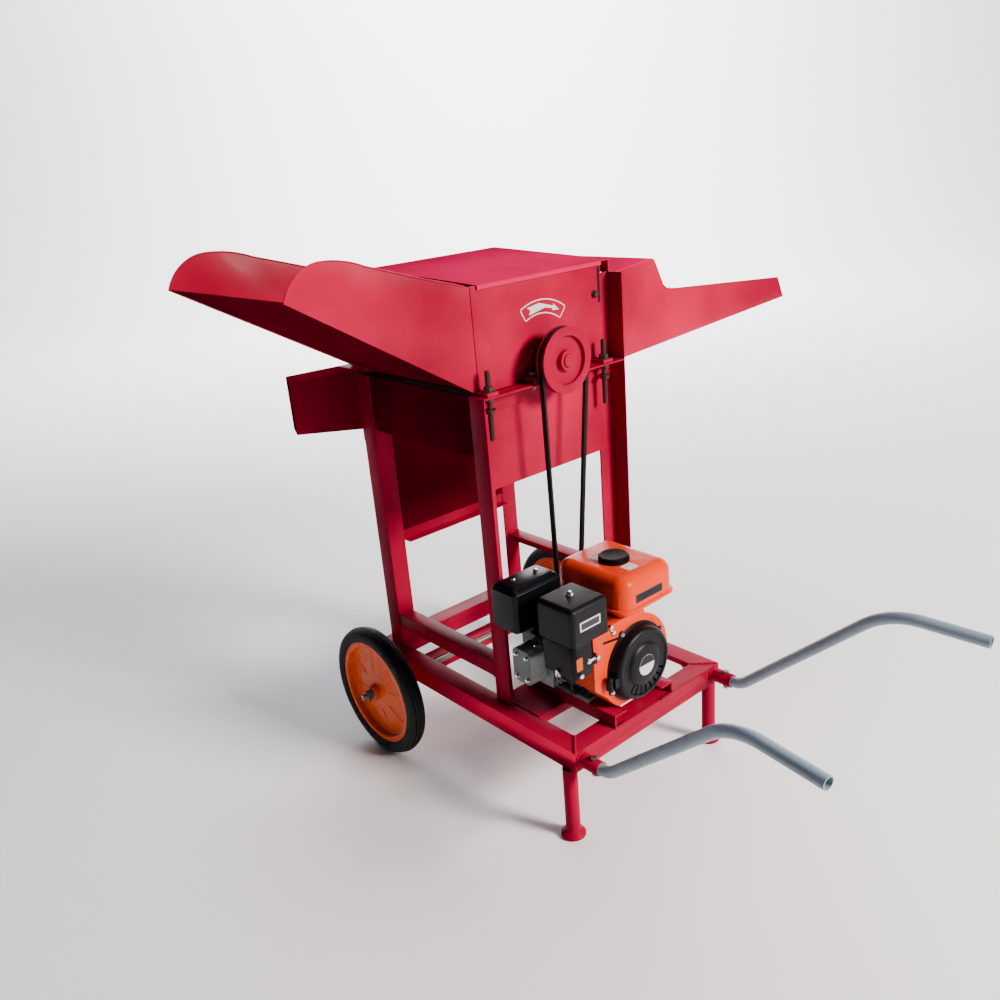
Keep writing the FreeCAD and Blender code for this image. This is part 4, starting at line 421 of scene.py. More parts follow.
weld_drop_radius = 0.0032
weld_step = 0.0026
weld_spread = 0.22
drop_mesh = bpy.data.meshes.new("weld_drop")
drop_work = bmesh.new()
bmesh.ops.create_icosphere(drop_work, subdivisions=2, radius=weld_drop_radius)
drop_work.to_mesh(drop_mesh)
drop_work.free()
weld_drop = pattern_part("weld_drop", drop_mesh)


def weld_run(start, end):
    """A straight weld between two places in millimetres."""
    run = at(*end) - at(*start)
    count = max(3, int(run.length / weld_step))
    return repeated("weld", row_of_parts, {
        "Part": weld_drop, "Count": count, "Start": tuple(at(*start)), "Step": tuple(run / count),
        "Spread": weld_spread, "Finish": red_enamel})


# The feet of the posts, the ends of the braces, the edge of the cross plate, the mitred corners
# and the ends of the engine rails; then a ring round each handle socket.
frame_top = 233.0
post_face = 222.4
foot_spans = ((-5.0, 45.0), (432.0, 482.0))
brace_ends = (46.0, 431.0)
brace_tops = {-1: 336.0, 1: 433.0}
brace_depth = 38.0
brace_width = 36.0
plate_span = (430.0, 565.0)
plate_y = 206.6
mitre_inner = (680.0, 208.0)
mitre_outer = (726.0, 254.0)
rail_end_x = 566.0
rail_front_x = 728.5
rail_spans = ((-125.0, -85.0), (37.0, 77.0))
weld_lines = []
for side in (-1, 1):
    foot_y = side * (post_face + 1)
    for low_x, high_x in foot_spans:
        weld_lines.append(((low_x, foot_y, frame_top), (high_x, foot_y, frame_top)))
    top_z = brace_tops[side]
    edge_y = side * (post_face - 1)
    for end_x in brace_ends:
        weld_lines.append(((end_x, edge_y, top_z - brace_depth), (end_x, edge_y, top_z)))
        weld_lines.append(((end_x, side * (post_face - brace_width), top_z),
                           (end_x, side * post_face, top_z)))
    weld_lines.append(((plate_span[0], side * plate_y, frame_top),
                       (plate_span[1], side * plate_y, frame_top)))
    weld_lines.append(((mitre_inner[0], side * mitre_inner[1], frame_top),
                       (mitre_outer[0], side * mitre_outer[1], frame_top)))
for span in rail_spans:
    for rail_y in span:
        weld_lines.append(((rail_end_x, rail_y, frame_top), (rail_end_x, rail_y, frame_top + 2)))
for span in rail_spans:
    weld_lines.append(((rail_front_x, span[0], frame_top + 1), (rail_front_x, span[1], frame_top + 1)))

socket_x = 729.0
socket_y = 235.6
socket_z = 212.0
socket_ring = 17.0
socket_sides = 12
for side in (-1, 1):
    turns = [math.radians(360.0 / socket_sides * step) for step in range(socket_sides + 1)]
    ring = [(socket_x, side * socket_y + socket_ring * math.cos(turn),
             socket_z + socket_ring * math.sin(turn)) for turn in turns]
    weld_lines += zip(ring, ring[1:])
weld_meshes = [weld_run(start, end) for start, end in weld_lines]
show(place_mesh("weld_beads", joined(weld_meshes), red_enamel), "chassis", "red_paint")

# Sheet metal of the threshing box
# Thin steel sheet, folded at the edges and welded at the corners, in the same red enamel. The roof
# and hood are brighter and pinker, which is painted light from above, and the lower panels, the
# chute's underside and the spout are darker, which is painted shade. Large sheets are never quite
# flat, so the gloss runs in soft waves.


def spot(axis, along, first, second):
    """A place by its distance along X, Y or Z and the next two coordinates in turn."""
    if axis == "X":
        return at(along, first, second)
    if axis == "Y":
        return at(second, along, first)
    return at(first, second, along)


def finished(work):
    """The mesh of a finished bmesh, with its faces pointing outwards."""
    bmesh.ops.recalc_face_normals(work, faces=work.faces)
    mesh = bpy.data.meshes.new("shape")
    work.to_mesh(mesh)
    work.free()
    return mesh


def slab(axis, low, high, outline):
    """A flat mesh: an outline square to an axis, from low to high along it."""
    work = bmesh.new()
    rings = [[work.verts.new(spot(axis, along, *point)) for point in outline] for along in (low, high)]
    for step in range(len(outline)):
        following = (step + 1) % len(outline)
        work.faces.new((rings[0][step], rings[0][following], rings[1][following], rings[1][step]))
    for ring in rings:
        work.faces.new(ring)
    return finished(work)


def rounded(first, second, half_first, half_second, radius, steps=4):
    """The outline of a rectangle with rounded corners about its middle."""
    points = []
    for quarter, (side_first, side_second) in enumerate(((1, 1), (-1, 1), (-1, -1), (1, -1))):
        for step in range(steps + 1):
            turn = math.radians(90.0 * (quarter + step / steps))
            points.append((first + side_first * (half_first - radius) + radius * math.cos(turn),
                           second + side_second * (half_second - radius) + radius * math.sin(turn)))
    return points


def carved(mesh, cutters):
    """A mesh less some others."""
    body = bpy.data.objects.new("carved_body", mesh)
    tool = bpy.data.objects.new("carving_tool", joined(cutters))
    bpy.context.scene.collection.objects.link(tool)
    cut = body.modifiers.new("cut", "BOOLEAN")
    cut.operation = "DIFFERENCE"
    cut.solver = "EXACT"
    cut.object = tool
    result = baked(body)
    bpy.data.objects.remove(tool)
    return result


fold_rounding = 0.5
front_panel_x = 437.6
sheet_enamel = enamel("red_enamel_on_sheet", "#b00338", "#70011f", "#2a0d10", roughness=0.24,
                      dent_mm=8.0, chip_level=0.74, shine=0.035)
# The roof and the hood get a brighter, pinker red than the other sheets: painted light from above, in place
# of their sheen.
roof_top_lit_enamel = enamel("top_lit_red_enamel_on_roof", "#cc044e", "#a20338", "#2a0d10", roughness=0.62,
                     dent_mm=5.0, chip_level=0.72, shine=0.0)
# The lower rear and side panels and the chute's underside get a darker red: painted shade.
painted_shade_enamel = enamel("shaded_red_enamel_under_chute", "#5a0116", "#38000e", "#1c0a0c", roughness=0.45,
                     dent_mm=1.5, chip_level=0.74, shine=0.0)
# The spout gets a darker red than the other sheets: painted shade.
shaded_spout_enamel = enamel("shaded_red_enamel_on_spout", "#8a0228", "#5a0119", "#1c0a0c", roughness=0.34,
                      dent_mm=2.0, chip_level=0.72, shine=0.0)
for finish, nodes in ((roof_top_lit_enamel, ("housing_roof", "feed_hood")),
                      (painted_shade_enamel, ("lower_rear_panel", "lower_side_panels")),
                      (shaded_spout_enamel, ("grain_spout",)),
                      (sheet_enamel, ("lower_front_panel", "upper_rear_panel", "chute_walls", "tray_walls",
                                      "tray_floor", "fan_front_plate", "fan_casing"))):
    for node in nodes:
        from_cad(node, node + "_folded", fold_rounding, finish)

# A slit in the upper front panel beside the far post. The strip of dark rubber behind it is painted
# shade, standing for the shadow in the slit.
slit_middle = (188.0, 1159.0)
slit_half_width = 3.8
slit_half_height = 41.0
panel_slit = slab("X", 428.0, 440.0, rounded(*slit_middle, slit_half_width, slit_half_height, 3.6))
from_cad("upper_front_panel", "upper_front_panel_folded", fold_rounding, sheet_enamel,
         cutters=[panel_slit])

# The chute's floor is slightly twisted, so it keeps its facets. The darker red on its underside is
# painted shade.
chute_bottom = from_cad("chute_floor", "chute_floor_folded", fold_rounding, sheet_enamel,
                        flat_degrees=0.02)
chute_bottom.data.materials.append(painted_shade_enamel)
for face in chute_bottom.data.polygons:
    face.material_index = 1 if face.normal.z < 0.0 else 0

# Rolled rims
# The free edges of the straw chute and of the feed tray are rolled over a thin wire, so that
# nobody is cut by them. Each follows the outline of its wall.
rim_radius = 2.0


def cord(points, radius_mm, smooth=False):
    """A round cord through a row of places, or near them when it is smooth."""
    curve = bpy.data.curves.new("cord", "CURVE")
    curve.dimensions = "3D"
    curve.bevel_depth = radius_mm / 1000
    curve.bevel_resolution = 4
    curve.use_fill_caps = True
    line = curve.splines.new("NURBS" if smooth else "POLY")
    line.points.add(len(points) - 1)
    for point, place in zip(line.points, points):
        point.co = (*at(*place), 1.0)
    line.use_endpoint_u = True
    line.order_u = 4
    line.resolution_u = 10
    return baked(bpy.data.objects.new("cord", curve))


def arc_through(start, middle, end, steps=10):
    """Places along the circular arc through three places of a plane."""
    (ax, ay), (bx, by), (cx, cy) = start, middle, end
    d = 2 * (ax * (by - cy) + bx * (cy - ay) + cx * (ay - by))
    a2, b2, c2 = ax * ax + ay * ay, bx * bx + by * by, cx * cx + cy * cy
    hub = ((a2 * (by - cy) + b2 * (cy - ay) + c2 * (ay - by)) / d,
           (a2 * (cx - bx) + b2 * (ax - cx) + c2 * (bx - ax)) / d)
    radius = math.hypot(ax - hub[0], ay - hub[1])
    first, through, last = (math.atan2(y - hub[1], x - hub[0]) for x, y in (start, middle, end))
    whole = (last - first) % (2 * math.pi)
    if (through - first) % (2 * math.pi) > whole:
        whole -= 2 * math.pi
    return [(hub[0] + radius * math.cos(first + whole * step / steps),
             hub[1] + radius * math.sin(first + whole * step / steps)) for step in range(steps + 1)]


def shaped(name, mesh, material, width_mm=0.0):
    """A piece of its own, with its edges rounded or left sharp."""
    piece = place_mesh(name, mesh, material)
    if width_mm:
        return soften(piece, width_mm)
    mesh.set_sharp_from_angle(angle=math.radians(sharp_degrees))
    return piece


def rim(x, corners, first_y, first_z, way, reach, rise):
    """A rolled edge on one wall, by shares of its reach and rise; via marks the middle of an arc."""
    places = [(first_y + way * (reach - rim_radius) * corner[0], first_z + (rise - rim_radius) * corner[1])
              for corner in corners]
    line = [places[0]]
    for index in range(1, len(corners)):
        if len(corners[index]) > 2:
            line += arc_through(places[index - 1], places[index], places[index + 1])[1:-1]
        else:
            line.append(places[index])
    return cord([(x, y, z) for y, z in line], rim_radius)


chute_corners = ((1.0, 0.806), (0.922, 0.945, "via"), (0.8085, 1.0), (0.69, 0.985, "via"), (0.574, 0.935),
                 (0.255, 0.80), (0.0236, 0.714))
tray_corners = ((1.0, 0.192), (0.96, 0.452), (0.30, 0.628), (0.268, 0.655, "via"), (0.25, 0.70),
                (0.207, 0.965), (0.201, 0.992, "via"), (0.187, 1.0))
chute_start = {"first_y": -200.0, "first_z": 984.0, "way": -1}
tray_start = {"first_y": 222.4, "first_z": 977.0, "way": 1}
rims = [rim(435.2, chute_corners, **chute_start, reach=423.0, rise=325.0),
        rim(41.8, chute_corners, **chute_start, reach=467.0, rise=337.0),
        rim(457.2, tray_corners, **tray_start, reach=694.6, rise=219.0),
        rim(19.8, tray_corners, **tray_start, reach=694.6, rise=219.0)]
show(shaped("rolled_rims", joined(rims), sheet_enamel), "chassis", "red_paint")

# Handles
# Bent steel tube with a grey powder coat, open at the ends.
tube_coat = enamel("grey_powder_coat_on_tube", "#8b9cab", "#748492", "#2a2c2e", roughness=0.22,
                   dent_mm=0.4, chip_level=0.70, orange_peel_mm=0.6)
handles = frame["nodes"]["handles"]
handles.data.materials.clear()
handles.data.materials.append(tube_coat)

# Bearings
# Cast iron pillow blocks, rough from the sand and painted over, with a grease nipple on top.
rough_iron = enamel("painted_cast_iron", "#5e0a18", "#500814", "#1c1012", roughness=0.42,
                    dent_mm=1.0, chip_level=0.60, orange_peel_mm=2.5)
from_cad("bearing_blocks", "bearing_blocks_cast", 2.0, rough_iron, steps=3)


def metal(name, hex_code, dark_hex, roughness, metallic, grain_mm, bump_mm):
    """Bare or plated metal with stains of 45 mm and a fine grain."""
    material = fresh_material(name)
    place = add(material, "ShaderNodeTexCoord").outputs["Object"]
    stain = add(material, "ShaderNodeTexNoise",
                {"Vector": place, "Scale": 22.0, "Detail": 6.0, "Roughness": 0.7})
    tone = add(material, "ShaderNodeMix",
               {"Factor": stain.outputs["Fac"], 6: linear(dark_hex), 7: linear(hex_code)}, data_type="RGBA")
    grain = add(material, "ShaderNodeTexNoise",
                {"Vector": place, "Scale": 1000.0 / grain_mm, "Detail": 3.0})
    gloss = add(material, "ShaderNodeMapRange",
                {"Value": stain.outputs["Fac"], "To Min": roughness + 0.15, "To Max": roughness - 0.05})
    skin = add(material, "ShaderNodeBump",
               {"Height": grain.outputs["Fac"], "Strength": 0.5, "Distance": bump_mm / 1000})
    return finish_material(material, add(material, "ShaderNodeBsdfPrincipled", {
        "Base Color": tone.outputs[2], "Metallic": metallic, "Roughness": gloss.outputs[0],
        "Normal": skin.outputs[0]}))


def moulded(name, hex_code, roughness, grain_mm, bump_mm, dusty_hex):
    """Moulded plastic, rubber or print: even colour, a fine grain, a film of dust in patches of 55 mm."""
    material = fresh_material(name)
    place = add(material, "ShaderNodeTexCoord").outputs["Object"]
    dust = add(material, "ShaderNodeTexNoise",
               {"Vector": place, "Scale": 18.0, "Detail": 6.0, "Roughness": 0.65})
    film = add(material, "ShaderNodeMapRange",
               {"Value": dust.outputs["Fac"], "From Min": 0.45, "From Max": 0.85, "To Max": 0.35})
    tone = add(material, "ShaderNodeMix",
               {"Factor": film.outputs[0], 6: linear(hex_code), 7: linear(dusty_hex)}, data_type="RGBA")
    grain = add(material, "ShaderNodeTexNoise",
                {"Vector": place, "Scale": 1000.0 / grain_mm, "Detail": 2.0})
    gloss = add(material, "ShaderNodeMapRange",
                {"Value": dust.outputs["Fac"], "To Min": roughness - 0.05, "To Max": roughness + 0.15})
    skin = add(material, "ShaderNodeBump",
               {"Height": grain.outputs["Fac"], "Strength": 0.4, "Distance": bump_mm / 1000})
    return finish_material(material, add(material, "ShaderNodeBsdfPrincipled", {
        "Base Color": tone.outputs[2], "Roughness": gloss.outputs[0], "Normal": skin.outputs[0],
        "Specular IOR Level": 0.14}))


# Zinc plate is pale and even, oiled steel brown and streaked, rust dull, and castings are grainy.
# Name, lit colour, stain colour, roughness, metallic share, grain and bump in millimetres.
zinc_plate = metal("zinc_plated_steel", "#c9ccd2", "#8f939a", 0.28, 1.0, 1.2, 0.05)
worn_steel = metal("oiled_mild_steel", "#8b8680", "#4a4038", 0.40, 0.9, 1.5, 0.12)
rusty_steel = metal("rusted_thread_rod", "#40201c", "#160a09", 0.65, 0.35, 1.0, 0.3)
cast_alloy = metal("sand_cast_aluminium", "#7c8484", "#4d5454", 0.50, 0.75, 1.6, 0.25)
dark_iron = metal("machined_cast_iron", "#5a5a5c", "#323234", 0.42, 0.85, 1.4, 0.15)
bright_chrome = metal("chromed_steel", "#e8ebf0", "#b9bec8", 0.10, 1.0, 2.0, 0.01)

# Plastic and stove enamel are black with a soft sheen, rubber is dull, and print and foil are flat.
# Name, colour, roughness, grain and bump in millimetres, colour of the dust.
black_moulding = moulded("black_polypropylene", "#05070b", 0.38, 1.2, 0.05, "#121316")
black_coat = moulded("black_stoving_enamel", "#04060b", 0.26, 1.5, 0.04, "#101116")
belt_rubber = moulded("belt_rubber", "#09090b", 0.6, 0.8, 0.12, "#1a1a1b")
tyre_rubber = moulded("solid_tyre_rubber", "#101215", 0.55, 1.0, 0.15, "#232323")
white_print = moulded("white_screen_print", "#c6c7c6", 0.45, 0.6, 0.01, "#8e8c88")
dark_print = moulded("dark_foil_label", "#141518", 0.35, 0.6, 0.01, "#2c2c2e")
grey_print = moulded("grey_foil_label", "#2e3034", 0.35, 0.6, 0.01, "#232325")
orange_print = moulded("orange_foil_tag", "#b8480a", 0.35, 0.6, 0.01, "#5c3a20")

orange_enamel = enamel("orange_engine_enamel", "#d83404", "#c42e03", "#2c1810", roughness=0.22,
                       dent_mm=0.8, chip_level=0.72, orange_peel_mm=0.8, shine=0.10)
wheel_enamel = enamel("orange_wheel_enamel", "#e8560e", "#d24409", "#2b170d", roughness=0.18,
                      dent_mm=1.0, chip_level=0.64, orange_peel_mm=0.9)


def lathed(axis, centre, profile, steps=96):
    """A turned mesh: (along, radius) pairs about an axis; a profile off the axis closes on itself."""
    work = bmesh.new()
    rings = []
    for along, radius in profile:
        if radius == 0:
            rings.append([work.verts.new(spot(axis, along, *centre))])
            continue
        turns = [2 * math.pi * (step + 0.5) / steps for step in range(steps)]
        rings.append([work.verts.new(spot(axis, along, centre[0] + radius * math.cos(turn),
                                          centre[1] + radius * math.sin(turn))) for turn in turns])
    pairs = list(zip(rings, rings[1:]))
    if len(rings[0]) > 1 and len(rings[-1]) > 1:
        pairs.append((rings[-1], rings[0]))
    for near, far in pairs:
        for step in range(steps):
            following = (step + 1) % steps
            corners = (near[step % len(near)], near[following % len(near)],
                       far[following % len(far)], far[step % len(far)])
            work.faces.new(list(dict.fromkeys(corners)))
    return finished(work)


rear_panel_x = 39.4
block_from_panel = 22.5
nipple_foot = 1063.0
nipple_profile = [(nipple_foot, 0), (nipple_foot, 4.2), (nipple_foot + 5, 4.2), (nipple_foot + 5.4, 2.6),
                  (nipple_foot + 8.6, 2.4), (nipple_foot + 11, 1.2), (nipple_foot + 11, 0)]
nipples = [lathed("Z", (x, 0), nipple_profile, steps=24)
           for x in (front_panel_x + block_from_panel, rear_panel_x - block_from_panel)]
show(shaped("grease_nipples", joined(nipples), zinc_plate), "chassis", "zinc")


def on_chassis(name, mesh, finish, like, *nodes, width_mm=0.0):
    """Shows a mesh as a piece of the chassis and hides the CAD nodes given; the record slot of a CAD node
    is looked up but goes unused.
    """
    show(shaped(name, mesh, finish, width_mm), "chassis", slot_of[like], *nodes)


def bare_plate(name, axis, low, high, outline, finish, like):
    """A thin plate on the chassis, with nothing printed on it."""
    on_chassis(name, slab(axis, low, high, outline), finish, like)


# The dark strip behind the slit in the upper front panel, painted shade for the shadow in the slit.
bare_plate("slit_strip", "X", front_panel_x - 1.2, front_panel_x - 0.5,
           rounded(*slit_middle, slit_half_width - 0.1, slit_half_height - 0.1, 3.5), belt_rubber,
           "drive_belt")

# Clamp rods and latch bolt
# Lengths of threaded rod with a nut and washer above and below the ledge; they stand in the open
# and have rusted. One rusty bolt on the front panel once held a latch.


def hex_head(axis, base, height, centre, flats, washer=0.0):
    """A hexagon head with a chamfered face on a washer; a negative height points down the axis."""
    radius = flats / math.sqrt(3.0)
    seat = base + math.copysign(washer, height)
    shoulder = seat + height * 0.8
    top = seat + height
    meshes = [lathed(axis, centre, [(seat, 0), (seat, radius), (shoulder, radius), (top, radius * 0.84),
                                    (top, 0)], steps=6)]
    if washer:
        meshes.append(lathed(axis, centre, [(base, 0), (base, radius * 1.22), (seat, radius * 1.2),
                                            (seat, 0)], steps=32))
    return joined(meshes)


seam_z = 984.0
rod_from_panel = 26.0
rod_near_y = -191.0
rod_far_y = 168.0
rod_low = 884.0
rod_high = 1038.0
rod_profile = [(rod_low, 0), (rod_low, 4.2), (rod_low + 1.5, 5.4), (rod_high - 1.5, 5.4),
               (rod_high, 4.2), (rod_high, 0)]
thread_pitch = 2.0
thread_count = int((rod_high - rod_low - 5.0) / thread_pitch)
washer_thickness = 1.6
nut_flats = 19.0
nut_bases = ((seam_z + 8.1, 10.0), (seam_z - 4.1, -10.0), (seam_z - 30.0, -8.0))
ring_mesh = lathed("Z", (0, 0), [(-0.9, 5.3), (0, 6.1), (0.9, 5.3), (0, 4.9)], steps=24)
ring_mesh.transform(Matrix.Translation(-at(0, 0, 0)))
thread_ring = pattern_part("thread_ring", ring_mesh)
clamp_parts = []
for rod_x in (front_panel_x + rod_from_panel, rear_panel_x - rod_from_panel):
    for rod_y in (rod_near_y, rod_far_y):
        clamp_parts.append(lathed("Z", (rod_x, rod_y), rod_profile, steps=32))
        clamp_parts.append(repeated("threads", row_of_parts, {
            "Part": thread_ring, "Count": thread_count, "Start": tuple(at(rod_x, rod_y, rod_low + 3.0)),
            "Step": (0, 0, thread_pitch / 1000), "Spread": 0.0, "Finish": rusty_steel}))
        clamp_parts += [hex_head("Z", base, height, (rod_x, rod_y), nut_flats, washer_thickness)
                        for base, height in nut_bases]
on_chassis("clamp_rods_threaded", joined(clamp_parts), rusty_steel, "clamp_bolts", "clamp_bolts")
latch_place = (172.0, 1140.0)
latch_bolt = hex_head("X", front_panel_x, 7.0, latch_place, 13.0, washer_thickness)
on_chassis("latch_bolt", latch_bolt, rusty_steel, "clamp_bolts")

# Printed arrow
# An arc and an arrow in white screen print on the upper front panel show the way the drum turns.
arc_middle = (-2.0, 1027.0)
print_thickness = 0.35
arc_inner = 97.0
arc_outer = 129.0
arc_line = 2.4
arc_half_angle = 33.0
arc_lean = 5.0
arc_steps = 24


def arc_points(radius, first, last):
    """Places on the panel along an arc; the angle is counted from straight up towards +Y."""
    turns = [math.radians(arc_lean + first + (last - first) * step / arc_steps)
             for step in range(arc_steps + 1)]
    return [(arc_middle[0] + radius * math.sin(turn), arc_middle[1] + radius * math.cos(turn))
            for turn in turns]


end_share = math.degrees(arc_line / arc_outer)
print_outlines = []
for inner, outer, first, last in ((arc_outer - arc_line, arc_outer, -arc_half_angle, arc_half_angle),
                                  (arc_inner, arc_inner + arc_line, -arc_half_angle, arc_half_angle),
                                  (arc_inner, arc_outer, -arc_half_angle, -arc_half_angle + end_share),
                                  (arc_inner, arc_outer, arc_half_angle - end_share, arc_half_angle)):
    print_outlines.append(arc_points(outer, first, last) + arc_points(inner, last, first))
shaft_mid = (arc_inner + arc_outer) / 2

# The arrow by the angle and the half width of its corners, from its tail to its tip.
arrow_shape = [(-24.0, 8.5), (-6.0, 8.0), (2.0, 4.0), (16.0, 2.6), (15.0, 7.5), (26.0, 0.0)]
arrow_notch = -20.0
arrow_sides = [[arc_points(shaft_mid + way * half, turn, turn)[0] for turn, half in arrow_shape]
               for way in (1, -1)]
arrow_end = arc_points(shaft_mid, arrow_notch, arrow_notch)[0]
print_outlines.append(arrow_sides[0] + arrow_sides[1][-2::-1] + [arrow_end])
print_meshes = [slab("X", front_panel_x, front_panel_x + print_thickness, outline)
                for outline in print_outlines]
on_chassis("turning_arrow_print", joined(print_meshes), white_print, "upper_front_panel")

# Bare steel and cast parts
# Turned shafts, nuts, the drum with its pegs, the grate and the pan, with oil, dust and stains, and
# the plain moulded and enamelled parts of the engine. The last number is the rounding in millimetres.
plain_parts = (
    ("axle", worn_steel, 0.6), ("axle_nuts", worn_steel, 0.8), ("concave", worn_steel, 0.5),
    ("grain_pan", worn_steel, 0.3), ("fan_rotor", worn_steel, 0.5), ("drum_shaft", red_enamel, 1.0),
    ("drum", worn_steel, 0.8), ("drum_teeth", worn_steel, 0.8), ("engine_pulley", dark_iron, 1.0),
    ("frame_bolts", worn_steel, 0.6), ("engine_block", cast_alloy, 1.2), ("crankshaft", worn_steel, 0.8),
    ("flywheel", dark_iron, 0.8), ("cylinder_head", cast_alloy, 0.8), ("carburettor", cast_alloy, 1.5),
    ("throttle_lever", bright_chrome, 0.6), ("choke_lever", bright_chrome, 0.6),
    ("engine_screws", bright_chrome, 0.6), ("drive_belt", belt_rubber, 0.6),
    ("plug_lead", belt_rubber, 0.3), ("starter_grip", black_moulding, 1.0),
    ("air_cleaner", black_moulding, 1.0), ("carburettor_shield", black_moulding, 2.0),
    ("muffler", black_coat, 1.5), ("fuel_tank", orange_enamel, 1.0))
for node, finish, width in plain_parts:
    from_cad(node, node + "_finished", width, finish)
from_cad("drum_pulley", "drum_pulley_turned", 1.2, red_enamel, steps=3)

# Recoil starter
# A stepped moulding in black plastic with vents at its foot and four screws through ears; the
# round label in its middle is bare. A block on its rim guides the rope.


def tilted(outline, middle, degrees):
    """An outline turned about a middle."""
    east, north = math.cos(math.radians(degrees)), math.sin(math.radians(degrees))
    return [(middle[0] + (a - middle[0]) * east - (b - middle[1]) * north,
             middle[1] + (a - middle[0]) * north + (b - middle[1]) * east) for a, b in outline]


crank = (-30.0, 362.0)
recoil_profile = [(743.4, 0), (743.4, 25.4), (744.6, 26.4), (744.0, 34), (742.6, 44), (740.4, 49.5),
                  (736, 53), (735, 56), (735, 70), (735.8, 72.8), (738.4, 74.6), (738.8, 77),
                  (737.6, 81), (734.2, 84.8), (729, 86.8), (715, 88.2), (713, 90), (713, 94),
                  (712.2, 95), (710, 95), (710, 83), (728, 82.6), (732.6, 80.4), (734.6, 77.4),
                  (734.2, 75.6), (732.6, 73.4), (732, 70), (732, 57), (733, 54.6), (738, 50),
                  (740.6, 40), (741, 26), (741, 0)]
vent_count = 8
vent_ring = 61.0
vent_first, vent_last = 140.0, 240.0
vents = []
for step in range(vent_count):
    turn = vent_first + (vent_last - vent_first) * step / (vent_count - 1)
    outline = tilted(rounded(crank[0], crank[1] + vent_ring, 2.3, 13.0, 2.2), crank, turn)
    vents.append(slab("X", 725, 748, outline))
recoil_parts = [carved(lathed("X", crank, recoil_profile, steps=128), vents)]
recoil_parts.append(slab("Y", -126, -104, rounded(350, 723.5, 12, 11.5, 4)))
ear_ring = 96.0
ear_turns = [math.radians(degrees) for degrees in (28, 118, 208, 298)]
ear_places = [(crank[0] - ear_ring * math.sin(turn), crank[1] + ear_ring * math.cos(turn))
              for turn in ear_turns]
for place in ear_places:
    recoil_parts.append(lathed("X", place, [(710.1, 0), (710.1, 8), (713.4, 7.6), (713.4, 0)], steps=32))
on_chassis("recoil_cover_stepped", joined(recoil_parts), black_moulding, "recoil_cover", "recoil_cover")
ear_screws = [hex_head("X", 713.3, 4.0, place, 8.0, 0.8) for place in ear_places]
on_chassis("recoil_screws", joined(ear_screws), bright_chrome, "engine_screws")
recoil_label = lathed("X", crank, [(743.3, 0), (743.3, 24.8), (743.8, 24.8), (743.8, 0)])
on_chassis("recoil_label", recoil_label, white_print, "engine_screws")
band_radius = 24.4
band = [(crank[0] + band_radius * math.cos(math.radians(degrees)),
         crank[1] + band_radius * math.sin(math.radians(degrees))) for degrees in range(4, 177, 6)]
bare_plate("recoil_label_band", "X", 743.7, 744.0, band, dark_print, "recoil_cover")

# Muffler guard
# A pressed and stove-enamelled box with broad bevels round its top and a row of slots along one.
# Its rings are height, half sizes and corner radius: down the outside, then up the inside.
guard_mid = (530.0, -187.0)
guard_rings = [(578.0, 27, 57, 6), (573.5, 34.5, 64.5, 8), (563, 41.5, 71.5, 10), (474, 43, 73, 10),
               (474, 41, 71, 8.6), (562, 39.5, 69.5, 8.6), (571.8, 33, 63, 7), (576, 26.4, 56.4, 5)]


def lofted(axis, rings):
    """A mesh through a row of outlines with equal counts of points, closed at both ends."""
    work = bmesh.new()
    loops = [[work.verts.new(spot(axis, along, *point)) for point in outline] for along, outline in rings]
    for near, far in zip(loops, loops[1:]):
        for step in range(len(near)):
            following = (step + 1) % len(near)
            work.faces.new((near[step], near[following], far[following], far[step]))
    work.faces.new(loops[0])
    work.faces.new(loops[-1])
    return finished(work)


guard_shell = lofted("Z", [(z, rounded(*guard_mid, half_x, half_y, corner))
                           for z, half_x, half_y, corner in guard_rings])
slot_count = 14
slot_half_width = 2.2
slot_first_y, slot_last_y = -250.0, -124.0
bevel_middle = (570.4, 567.5)
bevel_lean = 42.0
slot_outline = tilted(rounded(*bevel_middle, 2.2, 7.5, 2.0), bevel_middle, bevel_lean)
guard_slots = []
for step in range(slot_count):
    y = slot_first_y + (slot_last_y - slot_first_y) * step / (slot_count - 1)
    guard_slots.append(slab("Y", y - slot_half_width, y + slot_half_width, slot_outline))
on_chassis("muffler_guard_pressed", carved(guard_shell, guard_slots), black_coat, "muffler_guard",
           "muffler_guard", width_mm=0.4)

# Fuel cap, plates and tag on the tank
# A flat ribbed cap in black plastic. The dark plate on the front and the pale tag on top are bare.
cap_place = (636.0, -10.0)
cap_z = 585.3
cap_profile = [(cap_z + 13.0, 0), (cap_z + 13.0, 25.5), (cap_z + 13.5, 27), (cap_z + 13.5, 31.4),
               (cap_z + 12, 33.4), (cap_z + 4.6, 34.0), (cap_z + 4.0, 36.0), (cap_z, 36.0), (cap_z, 18.4),
               (cap_z + 4.3, 18.4), (cap_z + 4.3, 0)]
cap_rib_mesh = slab("Z", cap_z + 3.9, cap_z + 11.2, rounded(0, 0, 1.3, 1.0, 0.6, steps=2))
cap_rib_mesh.transform(Matrix.Translation(-at(0, 0, 0)))
cap_rib = pattern_part("cap_rib", cap_rib_mesh)
cap_rib_count = 44
cap_rib_ring = 0.0341
cap_ribs = repeated("cap_ribs", ring_of_parts, {
    "Part": cap_rib, "Count": cap_rib_count, "Radius": cap_rib_ring, "First": 0.0,
    "Sweep": 2 * math.pi, "Finish": black_moulding}, Matrix.Translation(at(*cap_place, 0)))
show(shaped("fuel_cap_ribbed", joined([lathed("Z", cap_place, cap_profile), cap_ribs]), black_moulding),
     body_of_node("fuel_cap"), slot_of["fuel_cap"], "fuel_cap")
bare_plate("tank_plate", "X", 734.8, 735.5, rounded(-6, 531, 44, 10, 1.5), grey_print, "fuel_cap")
bare_plate("tank_plate_field", "X", 735.4, 735.7, rounded(-6, 531, 41.5, 7.8, 1.0), dark_print, "fuel_cap")
bare_plate("tank_tag", "Z", 584.8, 585.5, rounded(688, -16, 14, 16, 2), white_print, "engine_screws")

